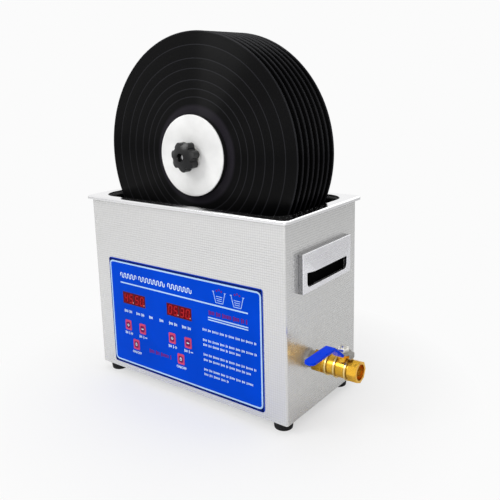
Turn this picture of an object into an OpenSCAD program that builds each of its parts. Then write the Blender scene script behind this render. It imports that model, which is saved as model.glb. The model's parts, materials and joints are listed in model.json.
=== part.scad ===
// Record cleaning machine: a bench ultrasonic tank with a digital control panel, a drain
// with a ball valve, and a motor-driven spindle that turns a stack of records in the bath.
// X runs along the front, Y to the back and Z up. The origin lies on the surface that the
// feet stand on, under the middle of the casing.

/* [Tank] */
// Inside length of the tank
tank_w = 300; // [285:1:330]
// Inside depth of the tank, front to back
tank_d = 150; // [140:1:180]
// Height of the tank, from its floor to the rim
tank_h = 150; // [110:1:180]
// Radius of the tank's upright corners
tank_corner_r = 28; // [20:1:38]
// Radius between the tank's walls and its floor
tank_floor_r = 12; // [6:1:16]
// Thickness of the tank's sheet
tank_sheet = 1.2; // [1:0.1:2]
// Reach of the rim past the casing
rim_reach = 6; // [4:0.5:9]
// Height of the rim's turned-down edge
rim_lip = 4.5; // [4:0.5:8]
// Radius of the rim's corners
rim_corner_r = 7; // [5:1:10]
// Radius of the roll along the rim's edge
rim_roll_r = 2.4; // [1.5:0.1:3]

/* [Casing] */
// Distance from the tank's inner face to the casing's end face
end_gap = 8; // [7:0.5:14]
// Distance from the tank's inner face to the casing's front and rear faces
side_gap = 7; // [7:0.5:14]
// Thickness of the casing's sheet
casing_sheet = 1; // [0.8:0.1:1.2]
// Radius of the casing's upright corners
casing_corner_r = 2.5; // [1.5:0.5:4]
// Height of the works under the tank, from the casing's lower edge to the tank's floor
works_h = 94; // [88:1:120]
// Thickness of the base plate
base_t = 1.5; // [1:0.1:2.5]
// Height of the feet
foot_h = 12; // [9:1:18]
// Radius of a foot where it meets the base plate
foot_r = 12.5; // [10:0.5:14]
// Distance from the casing's faces to a foot's centre
foot_inset = 16; // [15:0.5:22]
// Number of cooling slots in the rear wall
vent_count = 10; // [4:1:14]
// Height of a cooling slot
vent_h = 34; // [20:1:44]

/* [Control panel] */
// Width of the panel
panel_w = 257; // [240:1:270]
// Height of the panel
panel_h = 152; // [140:1:170]
// Thickness of the panel
panel_t = 1; // [0.6:0.1:1.5]
// Radius of the panel's corners
panel_corner_r = 3; // [1:0.5:6]
// Height of the panel's lower edge above the casing's lower edge
panel_rise = 8; // [5:1:14]
// Distance of the panel's middle to the left of the casing's middle
panel_shift = 2; // [0:0.5:6]
// Width of a display window
display_w = 43; // [36:1:46]
// Height of a display window
display_h = 17; // [14:0.5:20]
// Width of a key
key_w = 11.6; // [9:0.2:13]
// Height of a key
key_h = 14.4; // [11:0.2:16]
// How far a key can be pressed
key_travel = 0.5; // [0.3:0.1:0.6]
// Distance between the two upper keys of a group
key_pitch = 27.5; // [24:0.5:32]

/* [Handles] */
// Length of a handle
handle_w = 112; // [100:1:120]
// Height of a handle
handle_h = 47; // [40:1:52]
// How far a handle stands out of the casing
handle_proud = 6.6; // [5:0.2:9]
// How far the hood stands out of the handle's face at its lip
hood_proud = 2.6; // [1:0.2:5]
// Height of a handle's lower edge above the tank's floor
handle_rise = 59; // [40:1:62]

/* [Drain] */
// Distance from the tank's end wall to the drain's centre
drain_inset = 25; // [24:1:32]
// Distance of the drain and valve in front of the casing's middle
drain_y = 28; // [10:1:34]
// Drop from the tank's floor to the valve's axis
drain_drop = 30; // [26:1:40]
// Outer radius of the drain pipe
pipe_r = 10.3; // [9.5:0.1:10.8]
// Inner radius of the drain pipe
pipe_bore_r = 7.5; // [6:0.1:8]
// Distance from the casing to the ball's centre
ball_x = 42; // [38:1:48]
// Radius of the ball
ball_r = 9; // [8.6:0.1:9.2]
// Radius of the ball's own bore
ball_bore_r = 6.2; // [5:0.1:6.6]
// Radius of the valve's barrel
barrel_r = 11.7; // [11.4:0.1:12.5]
// Width across the flats of the valve's collars
collar_af = 24; // [23.5:0.5:28]
// Length of the valve's hexagonal collar, on the casing's side
collar_len = 12.5; // [11.5:0.5:15]
// Length of the valve's octagonal collar, at the outlet
octagon_len = 11; // [8:0.5:16]
// Length of the outlet's thread
outlet_len = 10; // [8:0.5:14]
// Radius of the threaded outlet at its crests
outlet_r = 9.3; // [8:0.1:9.6]
// Distance from the stem to the lever's tip
lever_len = 78; // [70:1:95]
// Width of the lever's grip
lever_w = 12.5; // [11.5:0.5:18]
// Rise of the lever from its hub to its grip
lever_rise = 15; // [12:1:24]

/* [Records] */
// Diameter of a record
record_d = 302; // [296:1:306]
// Thickness of a record at its label
record_t = 2; // [1.6:0.1:2.4]
// Gap between two records
record_gap = 9.5; // [7:0.5:10]
// Radius of the discs that cover the labels
disc_r = 50.5; // [48:0.5:54]
// Thickness of the front label disc
disc_t = 6; // [3:0.5:8]
// Clear distance from a record's edge to the tank's end wall at the rim
record_end_gap = 10.6; // [6:0.1:14]
// Radius of the spindle
spindle_r = 3.5; // [3.3:0.05:3.55]
// Outer radius of the star knob
knob_r = 19; // [17:0.5:22]
// Length of the star knob
knob_h = 20; // [16:0.5:26]
// Number of lobes on the star knob
knob_lobes = 7; // [5:1:9]

/* [Rack] */
// Thickness of the rack's sheet
rack_sheet = 2; // [1.5:0.1:2.5]
// Width of the rack
rack_w = 116; // [112:1:130]
// How far the rack's legs reach down from the rim
leg_drop = 38; // [34:1:60]
// How far the carriage lifts
lift = 60; // [20:5:80]
// Length of the bearing housing
bearing_len = 24; // [18:0.5:26]
// Radius of the bearing housing
bearing_r = 13; // [11:0.5:16]
// Width of the motor housing
motor_w = 62; // [58:1:66]
// Height of the motor housing
motor_h = 66; // [62:1:76]
// Depth of the motor housing
motor_d = 30; // [28:1:40]

/* [Hidden] */
$fn = 72;

// Overlap that lets a cut pass clean through a wall, and the depth at which a raised
// detail starts inside the piece that carries it
cut = 1;
sink = 0.5;

// Casing and tank
casing_w = tank_w + 2 * end_gap;
casing_d = tank_d + 2 * side_gap;
x_end = casing_w / 2;
y_side = casing_d / 2;
z_deck = foot_h;
z_floor = z_deck + works_h;
z_rim = z_floor + tank_h;
z_under = z_floor - tank_sheet;
rim_w = casing_w + 2 * rim_reach;
rim_d = casing_d + 2 * rim_reach;
base_gap = 0.1;
foot_taper = 1.5;
foot_recess_r = 5.5;
foot_recess = 5;
screw_r = 2;
screw_head_r = 3.8;
screw_head_h = 2.4;
screw_play = 0.3;
screw_tail = 3;
vent_w = 3;
vent_pitch = 8;
vent_start = 12;

// Panel, displays and keys, measured from the panel's lower left corner
x_panel = -panel_shift - panel_w / 2;
z_panel = z_deck + panel_rise;
y_panel = -y_side - panel_t;
group_x = [45, 127];
display_z = 98.5;
key_row_z = [59.5, 34];
display_proud = 0.2;
display_play = 0.15;
key_proud = 0.6;
key_play = 0.3;
key_corner_r = 2;
key_flange = 1;
key_flange_t = 0.5;
key_lift = 0.3;
key_clear = 0.3;
board_t = 1.2;
dome_r = 3;
dome_top_r = 2;
dome_clear = 0.05;
post_r = 2.5;
y_inside = -y_side + casing_sheet;
y_board = y_inside + key_lift + key_flange_t + key_travel + key_clear;
control_board_w = 160;
control_board_h = 102;
control_board_x = 8;
control_board_z = 12;

// Handles, measured from the handle's lower edge
z_handle = z_floor + handle_rise;
handle_sheet = 1.4;
handle_side = 9;
handle_sill = 6;
handle_mouth = 18.5;
handle_mouth_r = 6;
hood_lip = 2;
handle_seat = 3.5;
cup_wall = 1;
cup_edge = 3;
cup_play = 0.8;

// Works under the tank
transducer_x = [-100, -20, 60];
horn_r = 29.5;
horn_neck_r = 20;
horn_face_t = 5;
horn_cone_h = 20;
ceramic_r = 19;
ceramic_h = 10;
back_r = 19.5;
back_h = 13;
transducer_bolt_r = 5;
transducer_bolt_af = 17;
transducer_bolt_head_h = 5;
transducer_bolt_floor = 2;
ceramic_bore_r = 7;
z_ceramic = horn_face_t + horn_cone_h;
z_back = z_ceramic + ceramic_h;
pad_t = 1;
pad_w = 200;
pad_h = 80;
pad_rise = 18;
main_board_w = 180;
main_board_d = 104;
main_board_x = -45;
main_board_y = -8;
main_board_t = 1.6;
standoff_h = 6.5;
standoff_r = 3;
standoff_inset = 6;
z_main_board = z_deck + base_t + standoff_h;
z_parts = z_main_board + main_board_t;
sink_w = 60;
sink_d = 26;
sink_base = 3;
fin_h = 13;
fin_t = 1.6;
fin_count = 8;
core_w = 38;
core_d = 14;
core_h = 8;
winding_w = 32;
winding_d = 30;
winding_h = 14;
can_count = 4;
can_pitch = 18;
capacitor_r = 6.5;
capacitor_h = 15;

// Mains inlet and its rocker, in the rear wall
inlet_x = -x_end + 58;
inlet_z = z_deck + 48;
inlet_w = 50;
inlet_h = 62;
inlet_t = 2.5;
inlet_depth = 24;
inlet_step = 3;
inlet_corner_r = 3;
inlet_play = 0.1;
inlet_edge_r = 0.5;
socket_w = 25;
socket_h = 17;
socket_depth = 17;
socket_corner_r = 3;
socket_z = -15;
socket_pin_drop = 2;
socket_earth_rise = 3;
socket_pin_x = 7;
socket_pin_w = 2;
socket_pin_h = 4;
socket_pin_len = 11;
fuse_w = 26;
fuse_h = 9;
fuse_z = 3;
fuse_proud = 0.8;
rocker_z = 19;
rocker_w = 20;
rocker_h = 11;
rocker_side_play = 0.4;
rocker_end_play = 0.9;
rocker_tilt = 10;
rocker_depth = 4;
rocker_pivot = 3;
rocker_rise = 2.2;
rocker_dip = 1.5;
rocker_edge = 0.6;
pin_r = 1.2;
pin_play = 0.3;
pin_grip = 2;
lug_w = 2;
lug_d = 6;
lug_h = 2.5;

// Drain and valve, along the valve's own axis
x_drain = tank_w / 2 - drain_inset;
y_drain = -drain_y;
z_drain = z_floor - drain_drop;
thread_play = 0.05;
flange_r = 15;
flange_t = 3;
locknut_af = 27;
locknut_h = 5;
x_collar = 6.5;
pipe_grip = 11;
seat_t = 2.2;
seat_lap = 2.4;
chamber_r = ball_r + 0.4;
chamber_half = ball_r + seat_t;
x_outlet = ball_x + chamber_half + 0.5;
ring_proud = 1.4;
ring_w = 2;
ring_x = [-17.5, -6.5, 7.5];
stem_r = 3.5;
stem_boss_r = 7;
stem_boss_h = 4;
gland_af = 13;
gland_h = 4;
hub_gap = 0.6;
hub_r = 9.5;
lever_t = 2.2;
sleeve_t = 0.4;
grip_t = lever_t + 2 * sleeve_t;
hub_reach = 9;
grip_start = 31;
grip_corner_r = 2;
grip_tip_inset = 1;
lever_neck_w = 11;
lever_fold = 2;
ear_w = 8;
ear_reach = 12;
ear_drop = 6;
nut_af = 12;
nut_h = 4.5;
stem_tip = 3;
tongue_w = 4;
tongue_h = 1.5;
tongue_lap = 1;
z_boss = barrel_r - 2;
z_gland = z_boss + stem_boss_h;
z_hub = z_gland + gland_h + hub_gap;
z_nut = z_hub + lever_t;

// Rack, from the tank's rear wall forwards
record_count = 8;
rack_wall_gap = 2;
slide_gap = 0.4;
plate_t = 2;
collar_t = 1.2;
collar_r = 8;
bearing_gap = 0.3;
rear_disc_t = 4;
record_r = record_d / 2;
dry_gap = 5;
end_reach = tank_w / 2 - record_end_gap;
spindle_rise = max(disc_r + dry_gap, sqrt(max(0, record_r * record_r - end_reach * end_reach)));
z_axis = z_rim + spindle_rise;
y_leg_back = tank_d / 2 - rack_wall_gap;
y_leg = y_leg_back - rack_sheet;
y_plate_back = y_leg - slide_gap;
y_plate = y_plate_back - plate_t;
y_bearing = y_plate - bearing_len;
y_collar = y_bearing - bearing_gap - collar_t;
y_stack_back = y_collar - rear_disc_t;
record_pitch = record_t + record_gap;
stack_len = record_count * record_pitch - record_gap;
y_stack = y_stack_back - stack_len;
seal_t = 1.5;
seal_w = 8.8;
seal_r = disc_r + 0.8;
washer_t = 1.5;
washer_r = 13;
disc_edge = 0.7;
y_disc = y_stack - seal_t - disc_t;
y_washer = y_disc - washer_t;
y_knob = y_washer - knob_h;
record_hole_r = 3.62;
label_r = 50;
groove_t = 1.5;
label_slope = 1.5;
bead_t = 1.9;
bead_w = 4;
bead_edge = 0.6;
spacer_r = 48;
spacer_rim = 6;
spacer_web = 3;
spacer_hub_r = 10;
bore_play = 0.05;
thread_r = 3;
knob_lobe_r = 5;
knob_hub_r = 14.5;
knob_dome_r = 34;
knob_collar_r = 11;
knob_collar_h = 4;
knob_recess_r = 5.2;
knob_recess = 5;

// Rack bracket and carriage
hook_gap = 2.3;
hook_leg_h = 30;
y_hook = y_side + rim_reach + hook_gap;
window_w = 44;
window_corner_r = 3;
boss_w = 40;
boss_corner_r = 3;
window_play = 4;
top_bar = 12;
slot_w = 5.6;
stud_r = 2.5;
stud_head_r = 6;
stud_head_h = 3;
rack_corner_r = 8;
z_top = z_axis + lift + boss_w / 2 + window_play + top_bar;
plate_w = 110;
slot_inset = 7;
slot_x = plate_w / 2 - slot_inset;
plate_h = 52;
plate_corner_r = 6;
clamp_z = z_rim - 18;
clamp_r = 3;
clamp_boss_r = 7;
clamp_boss_h = 6;
clamp_tip_gap = 0.3;
clamp_grip_gap = 1;
clamp_pad_r = 4.5;
clamp_pad_t = 2;
grip_r = 12;
grip_h = 10;
grip_lobe_r = 3.4;
grip_hub_r = 9;
grip_lobes = 6;

// Bearing and motor
bearing_flange_r = 19;
bearing_flange_t = 3;
shaft_r = 4;
bush_r = 6.5;
bush_len = 7;
shaft_play = 0.04;
shaft_hole_r = 6;
motor_wall = 2.5;
motor_corner_r = 5;
motor_face_t = 3;
cover_t = 3;
cover_screw_inset = 5;
cover_screw_r = 2.5;
cover_screw_h = 1.2;
cover_slot_w = 0.8;
can_r = 25;
can_d = 20;
can_boss_r = 8;
shaft_grip = 10;
shaft_end_gap = 0.3;
y_motor = y_leg_back + slide_gap;
y_motor_in = y_motor + motor_face_t;
y_cover = y_motor + motor_d;
jack_r = 5.5;
jack_bore_r = 3;
jack_pin_r = 1;
jack_floor = 2;
jack_len = 11;
jack_proud = 2;
jack_y = 8;
jack_z = 10;
motor_rocker_w = 15;
motor_rocker_h = 9;

// Colours as they look in daylight
steel_light = [0.86, 0.86, 0.85];
steel_mid = [0.72, 0.72, 0.73];
panel_blue = [0.05, 0.24, 0.75];
display_red = [0.35, 0.05, 0.07];
key_red = [0.85, 0.2, 0.3];
rubber_black = [0.06, 0.06, 0.06];
plastic_black = [0.09, 0.09, 0.1];
vinyl_black = [0.04, 0.04, 0.045];
disc_white = [0.93, 0.93, 0.92];
brass_yellow = [0.78, 0.6, 0.25];
lever_blue = [0.05, 0.3, 0.85];
alloy_grey = [0.66, 0.67, 0.69];
ceramic_grey = [0.5, 0.47, 0.43];
board_green = [0.1, 0.35, 0.2];
heater_orange = [0.75, 0.35, 0.12];
bronze_brown = [0.6, 0.42, 0.22];

// Rectangle with true arcs at its corners, centred
module rounded_rect(w, h, r) {
    square([w - 2 * r, h], center = true);
    square([w, h - 2 * r], center = true);
    for (sx = [-1, 1], sy = [-1, 1])
        translate([sx * (w / 2 - r), sy * (h / 2 - r)]) circle(r);
}

// Slot with round ends, upright and centred
module round_slot(w, h) {
    square([w, h - w], center = true);
    for (side = [-1, 1]) translate([0, side * (h - w) / 2]) circle(w / 2);
}

// Half of a tub's cross-section at a corner, from the corner's axis outwards
module tub_profile(h, corner_r, floor_r) {
    square([corner_r - floor_r, h]);
    translate([0, floor_r]) square([corner_r, h - floor_r]);
    intersection() {
        translate([corner_r - floor_r, floor_r]) circle(floor_r);
        square([corner_r, h]);
    }
}

// Drawn tub: upright corners of one radius and a rounded edge round its floor
module tub(w, d, h, corner_r, floor_r) {
    run_x = w - 2 * corner_r;
    run_y = d - 2 * corner_r;
    translate([-run_x / 2, -run_y / 2, 0]) cube([run_x, run_y, h]);
    for (side = [0, 1]) rotate(180 * side) {
        translate([-run_x / 2, -run_y / 2, 0]) rotate([90, 0, 90])
            linear_extrude(run_x) mirror([1, 0]) tub_profile(h, corner_r, floor_r);
        translate([run_x / 2, run_y / 2, 0]) rotate([90, 0, 0])
            linear_extrude(run_y) tub_profile(h, corner_r, floor_r);
    }
    for (k = [0:3]) {
        turned = k == 0 || k == 3 ? 1 : -1;
        back = k < 2 ? 1 : -1;
        translate([turned * run_x / 2, back * run_y / 2, 0]) rotate(90 * k)
            rotate_extrude(angle = 90) tub_profile(h, corner_r, floor_r);
    }
}

// Lays a shape drawn upwards along +Y, starting at y
module along_y(y) {
    translate([0, y, 0]) rotate([-90, 0, 0]) children();
}

// Lays a shape drawn upwards along +X, starting at x
module along_x(x) {
    translate([x, 0, 0]) rotate([0, 90, 0]) children();
}

module hexagon(af, h) {
    cylinder(h = h, r = af / 2 / cos(30), $fn = 6);
}

module octagon(af, h) {
    cylinder(h = h, r = af / 2 / cos(22.5), $fn = 8);
}

module tube(h, r, bore_r) {
    difference() {
        cylinder(h = h, r = r);
        translate([0, 0, -cut]) cylinder(h = h + 2 * cut, r = bore_r);
    }
}

// Disc with a hole, its lower edge bevelled
module edged_disc(h, r, bore_r, edge) {
    difference() {
        union() {
            cylinder(h = edge, r1 = r - edge, r2 = r);
            translate([0, 0, edge]) cylinder(h = h - edge, r = r);
        }
        translate([0, 0, -cut]) cylinder(h = h + 2 * cut, r = bore_r);
    }
}

// Lobed grip, pressed from its back face at z = 0 to a domed front
module star_grip(h, hub_r, lobe_r, reach, lobes, dome_r) {
    intersection() {
        linear_extrude(h) {
            circle(hub_r);
            for (k = [0:lobes - 1]) rotate(360 / lobes * (k + 0.25))
                translate([reach - lobe_r, 0]) circle(lobe_r);
        }
        translate([0, 0, h - dome_r]) sphere(dome_r, $fn = 96);
    }
}

// Rocker with a shallow V on top and a blind hole in each side for its pivot
module rocker(w, h) {
    difference() {
        rotate([0, -90, 0]) linear_extrude(w, center = true) polygon([
            [-rocker_depth, -h / 4], [0, -h / 2], [rocker_pivot, -h / 2],
            [rocker_pivot + rocker_rise, -h / 2 + rocker_edge], [rocker_pivot + rocker_dip, 0],
            [rocker_pivot + rocker_rise, h / 2 - rocker_edge], [rocker_pivot, h / 2], [0, h / 2],
            [-rocker_depth, h / 4]
        ]);
        for (side = [0, 1]) mirror([side, 0, 0])
            along_x(w / 2 - pin_grip) cylinder(h = pin_grip + cut, r = pin_r + pin_play);
    }
}

// The two pins in a rocker's window that it tilts on
module rocker_pins(w) {
    for (side = [0, 1]) mirror([side, 0, 0]) along_x(w / 2 - pin_grip + pin_play)
        cylinder(h = pin_grip - pin_play + rocker_side_play + sink, r = pin_r);
}

module at_feet() {
    for (sx = [-1, 1], sy = [-1, 1])
        translate([sx * (x_end - foot_inset), sy * (y_side - foot_inset), 0]) children();
}

module at_key(group, column) {
    row = column == 0 ? 1 : 0;
    translate([x_panel + group_x[group] + column * key_pitch / 2, 0, z_panel + key_row_z[row]])
        children();
}

module at_displays() {
    for (x = group_x) translate([x_panel + x, 0, z_panel + display_z]) children();
}

// Window through the front for a key or a display, with play all round
module front_window(w, h, r) {
    translate([0, -y_side + 3 * casing_sheet, 0]) rotate([90, 0, 0])
        linear_extrude(3 * casing_sheet + panel_t + cut) rounded_rect(w, h, r);
}

module front_windows() {
    at_displays() front_window(display_w + 2 * display_play, display_h + 2 * display_play, 0.5);
    for (group = [0, 1], column = [-1, 0, 1])
        at_key(group, column) front_window(key_w + 2 * key_play, key_h + 2 * key_play, key_corner_r);
}

// Casing wrap: four walls of one sheet, closed by the tank's rim and the base plate
module casing() {
    color(steel_light) difference() {
        translate([0, 0, z_deck]) linear_extrude(z_rim - tank_sheet - z_deck) difference() {
            rounded_rect(casing_w, casing_d, casing_corner_r);
            rounded_rect(casing_w - 2 * casing_sheet, casing_d - 2 * casing_sheet,
                casing_corner_r - casing_sheet);
        }
        front_windows();
        for (side = [-1, 1])
            translate([side * x_end, 0, z_handle + handle_h / 2])
                cube([4 * casing_sheet, handle_w - 2 * handle_seat, handle_h - 2 * handle_seat],
                    center = true);
        translate([x_end - 2 * casing_sheet, y_drain, z_drain]) rotate([0, 90, 0])
            cylinder(h = 4 * casing_sheet, r = pipe_r + thread_play);
        translate([inlet_x, y_side, inlet_z])
            cube([inlet_w - 2 * inlet_step, 4 * casing_sheet, inlet_h - 2 * inlet_step],
                center = true);
        for (k = [0:vent_count - 1])
            translate([vent_start + k * vent_pitch, 0, inlet_z]) along_y(y_side - 2 * casing_sheet)
                linear_extrude(4 * casing_sheet) round_slot(vent_w, vent_h);
    }
}

module base_plate() {
    color(steel_mid) {
        difference() {
            translate([0, 0, z_deck]) linear_extrude(base_t)
                rounded_rect(casing_w - 2 * casing_sheet - 2 * base_gap,
                    casing_d - 2 * casing_sheet - 2 * base_gap, casing_corner_r);
            at_feet() translate([0, 0, z_deck - cut])
                cylinder(h = base_t + 2 * cut, r = screw_r + thread_play);
            for (k = [0:vent_count - 1])
                translate([vent_start + k * vent_pitch, 0, z_deck - cut])
                    linear_extrude(base_t + 2 * cut) round_slot(vent_w, vent_h);
        }
        for (sx = [-1, 1], sy = [-1, 1])
            translate([
                main_board_x + sx * (main_board_w / 2 - standoff_inset),
                main_board_y + sy * (main_board_d / 2 - standoff_inset),
                z_deck + base_t
            ]) cylinder(h = standoff_h, r = standoff_r);
    }
}

module feet() {
    color(rubber_black) at_feet() difference() {
        cylinder(h = foot_h, r1 = foot_r - foot_taper, r2 = foot_r);
        translate([0, 0, -cut]) cylinder(h = foot_recess + cut, r = foot_recess_r);
        cylinder(h = foot_h + cut, r = screw_r + screw_play);
    }
}

module foot_screws() {
    color(steel_mid) at_feet() translate([0, 0, foot_recess - screw_head_h]) {
        cylinder(h = screw_head_h, r = screw_head_r);
        cylinder(h = foot_h - foot_recess + screw_head_h + base_t + screw_tail, r = screw_r);
    }
}

// Drawn tank with a rolled rim that covers the casing's top edge
module tank() {
    color(steel_mid) difference() {
        union() {
            translate([0, 0, z_under])
                tub(tank_w + 2 * tank_sheet, tank_d + 2 * tank_sheet, tank_h + tank_sheet / 2,
                    tank_corner_r + tank_sheet, tank_floor_r + tank_sheet);
            difference() {
                translate([0, 0, z_rim]) mirror([0, 0, 1])
                    tub(rim_w, rim_d, rim_lip, rim_corner_r, rim_roll_r);
                translate([0, 0, z_rim - tank_sheet]) mirror([0, 0, 1])
                    tub(rim_w - 2 * tank_sheet, rim_d - 2 * tank_sheet, rim_lip,
                        rim_corner_r - tank_sheet, rim_roll_r - tank_sheet);
            }
        }
        translate([0, 0, z_floor])
            tub(tank_w, tank_d, tank_h + cut, tank_corner_r, tank_floor_r);
        translate([x_drain, y_drain, z_under - cut]) cylinder(h = tank_sheet + 2 * cut, r = pipe_bore_r);
    }
}

module control_panel() {
    color(panel_blue) difference() {
        translate([x_panel + panel_w / 2, -y_side, z_panel + panel_h / 2]) rotate([90, 0, 0])
            linear_extrude(panel_t) rounded_rect(panel_w, panel_h, panel_corner_r);
        front_windows();
    }
}

module displays() {
    color(display_red) at_displays()
        translate([-display_w / 2, y_panel - display_proud, -display_h / 2])
            cube([display_w, y_board - y_panel + display_proud, display_h]);
}

// Board behind the panel, with a switch dome under each key
module control_board() {
    color(board_green) translate([x_panel + control_board_x, 0, z_panel + control_board_z]) {
        translate([0, y_board, 0]) cube([control_board_w, board_t, control_board_h]);
        for (x = [post_r, control_board_w - post_r], z = [post_r, control_board_h - post_r])
            translate([x, 0, z]) along_y(y_inside) cylinder(h = y_board - y_inside, r = post_r);
    }
    color(steel_mid) for (group = [0, 1], column = [-1, 0, 1])
        at_key(group, column) along_y(y_board - key_clear + dome_clear)
            cylinder(h = key_clear - dome_clear, r1 = dome_top_r, r2 = dome_r);
}

// Key cap with a flange that keeps it behind the casing
module key(group, column) {
    color(key_red) at_key(group, column) {
        translate([0, y_inside + key_lift, 0]) rotate([90, 0, 0])
            linear_extrude(y_inside + key_lift - y_panel + key_proud)
                rounded_rect(key_w, key_h, key_corner_r - key_play);
        translate([0, y_inside + key_lift + key_flange_t, 0]) rotate([90, 0, 0])
            linear_extrude(key_flange_t)
                rounded_rect(key_w + 2 * key_flange, key_h + 2 * key_flange, key_corner_r);
    }
}

module key_temp_up() { key(0, -1); }
module key_temp_down() { key(0, 1); }
module key_heat() { key(0, 0); }
module key_time_up() { key(1, -1); }
module key_time_down() { key(1, 1); }
module key_clean() { key(1, 0); }

// Hooded pull handle, drawn for the right end of the casing
module pull_handle() {
    mouth_w = handle_w - 2 * handle_side;
    hood_z = handle_sill + handle_mouth;
    face = handle_proud + hood_proud;
    difference() {
        union() {
            translate([0, -handle_w / 2, 0]) cube([handle_proud, handle_w, handle_h]);
            intersection() {
                translate([0, handle_w / 2, 0]) rotate([90, 0, 0]) linear_extrude(handle_w)
                    polygon([
                        [0, hood_z], [face, hood_z], [face, hood_z + hood_lip],
                        [handle_proud, handle_h], [0, handle_h]
                    ]);
                linear_extrude(handle_h) polygon([
                    [0, -handle_w / 2], [handle_proud, -handle_w / 2],
                    [face, -handle_w / 2 + 2 * handle_side],
                    [face, handle_w / 2 - 2 * handle_side],
                    [handle_proud, handle_w / 2], [0, handle_w / 2]
                ]);
            }
        }
        translate([-cut, 0, handle_sill]) rotate([90, 0, 90]) linear_extrude(face + 2 * cut)
            translate([0, handle_mouth / 2]) {
                rounded_rect(mouth_w, handle_mouth, handle_mouth_r);
                translate([-mouth_w / 2, 0]) square([mouth_w, handle_mouth / 2]);
            }
        translate([-cut, handle_sheet - handle_w / 2, handle_sheet])
            cube([
                handle_proud - handle_sheet + cut,
                handle_w - 2 * handle_sheet,
                handle_h - 2 * handle_sheet
            ]);
    }
}

module handle_right() {
    color(steel_light) translate([x_end, 0, z_handle]) pull_handle();
}

module handle_left() {
    color(steel_light) translate([-x_end, 0, z_handle]) mirror([1, 0, 0]) pull_handle();
}

// Shallow pans that close the handle openings behind the casing
module handle_cups() {
    cup_d = end_gap - casing_sheet - tank_sheet - cup_play;
    cup_w = handle_w - 2 * handle_seat + 2 * cup_edge;
    cup_h = handle_h - 2 * handle_seat + 2 * cup_edge;
    color(plastic_black) for (side = [0, 1]) mirror([side, 0, 0])
        translate([x_end - casing_sheet - cup_d, 0, z_handle + handle_h / 2]) difference() {
            translate([0, -cup_w / 2, -cup_h / 2]) cube([cup_d, cup_w, cup_h]);
            translate([cup_wall, -cup_w / 2 + cup_edge, -cup_h / 2 + cup_edge])
                cube([cup_d, cup_w - 2 * cup_edge, cup_h - 2 * cup_edge]);
        }
}

// Bolted ultrasonic transducers, stacked downwards from the tank's underside
module at_transducers() {
    for (x = transducer_x) translate([x, 0, z_under]) mirror([0, 0, 1]) children();
}

module transducer_horns() {
    color(alloy_grey) at_transducers() difference() {
        union() {
            cylinder(h = horn_face_t, r = horn_r);
            translate([0, 0, horn_face_t]) cylinder(h = horn_cone_h, r1 = horn_r, r2 = horn_neck_r);
        }
        translate([0, 0, horn_face_t]) cylinder(h = horn_cone_h + cut, r = transducer_bolt_r + bore_play);
    }
}

module transducer_ceramics() {
    color(ceramic_grey) at_transducers() translate([0, 0, z_ceramic])
        tube(ceramic_h, ceramic_r, ceramic_bore_r);
}

module transducer_backs() {
    color(steel_mid) at_transducers() translate([0, 0, z_back])
        tube(back_h, back_r, transducer_bolt_r + bore_play);
}

module transducer_bolts() {
    z_bolt = horn_face_t + transducer_bolt_floor;
    color(steel_mid) at_transducers() {
        translate([0, 0, z_bolt]) cylinder(h = z_back + back_h - z_bolt, r = transducer_bolt_r);
        translate([0, 0, z_back + back_h]) hexagon(transducer_bolt_af, transducer_bolt_head_h);
    }
}

module heater_pads() {
    color(heater_orange) for (side = [0, 1]) mirror([0, side, 0])
        translate([-pad_w / 2, tank_d / 2 + tank_sheet, z_floor + pad_rise]) cube([pad_w, pad_t, pad_h]);
}

module generator_board() {
    color(board_green)
        translate([main_board_x - main_board_w / 2, main_board_y - main_board_d / 2, z_main_board])
            cube([main_board_w, main_board_d, main_board_t]);
}

// Heat sink, transformer and capacitors on the generator board
module board_parts() {
    color(alloy_grey) translate([main_board_x - sink_w / 6, main_board_y + sink_d / 2, z_parts]) {
        cube([sink_w, sink_d, sink_base]);
        for (k = [0:fin_count - 1])
            translate([k * (sink_w - fin_t) / (fin_count - 1), 0, sink_base]) cube([fin_t, sink_d, fin_h]);
    }
    color(rubber_black)
        translate([main_board_x - main_board_w / 3, main_board_y - main_board_d / 4, z_parts]) {
            translate([-winding_w / 2, -winding_d / 2, 0]) cube([winding_w, winding_d, winding_h]);
            translate([-core_w / 2, -core_d / 2, (winding_h - core_h) / 2])
                cube([core_w, core_d, core_h]);
        }
    color(steel_mid) for (k = [0:can_count - 1])
        translate([main_board_x + k * can_pitch, main_board_y - main_board_d / 4, z_parts])
            cylinder(h = capacitor_h, r = capacitor_r);
}

// Mains inlet module: socket, fuse drawer and the rocker's window in one moulding
module power_inlet() {
    color(plastic_black) translate([inlet_x, y_side, inlet_z]) {
        difference() {
            union() {
                rotate([-90, 0, 0]) linear_extrude(inlet_t) rounded_rect(inlet_w, inlet_h, inlet_corner_r);
                translate([0, -inlet_depth, 0]) rotate([-90, 0, 0]) linear_extrude(inlet_depth)
                    rounded_rect(inlet_w - 2 * (inlet_step + inlet_play),
                        inlet_h - 2 * (inlet_step + inlet_play), inlet_edge_r);
            }
            translate([0, inlet_t - socket_depth, socket_z]) rotate([-90, 0, 0])
                linear_extrude(socket_depth + cut) rounded_rect(socket_w, socket_h, socket_corner_r);
            translate([0, inlet_t, rocker_z])
                cube([rocker_w + 2 * rocker_side_play, 2 * (rocker_depth + rocker_pivot + cut),
                    rocker_h + 2 * rocker_end_play], center = true);
        }
        for (k = [-1, 0, 1])
            translate([
                k * socket_pin_x - socket_pin_w / 2,
                inlet_t - socket_depth - sink,
                socket_z + (k == 0 ? socket_earth_rise : -socket_pin_drop) - socket_pin_h / 2
            ]) cube([socket_pin_w, socket_pin_len + sink, socket_pin_h]);
        translate([0, inlet_t - rocker_pivot, rocker_z]) rocker_pins(rocker_w);
        translate([-fuse_w / 2, inlet_t - sink, fuse_z - fuse_h / 2])
            cube([fuse_w, fuse_proud + sink, fuse_h]);
    }
}

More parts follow.
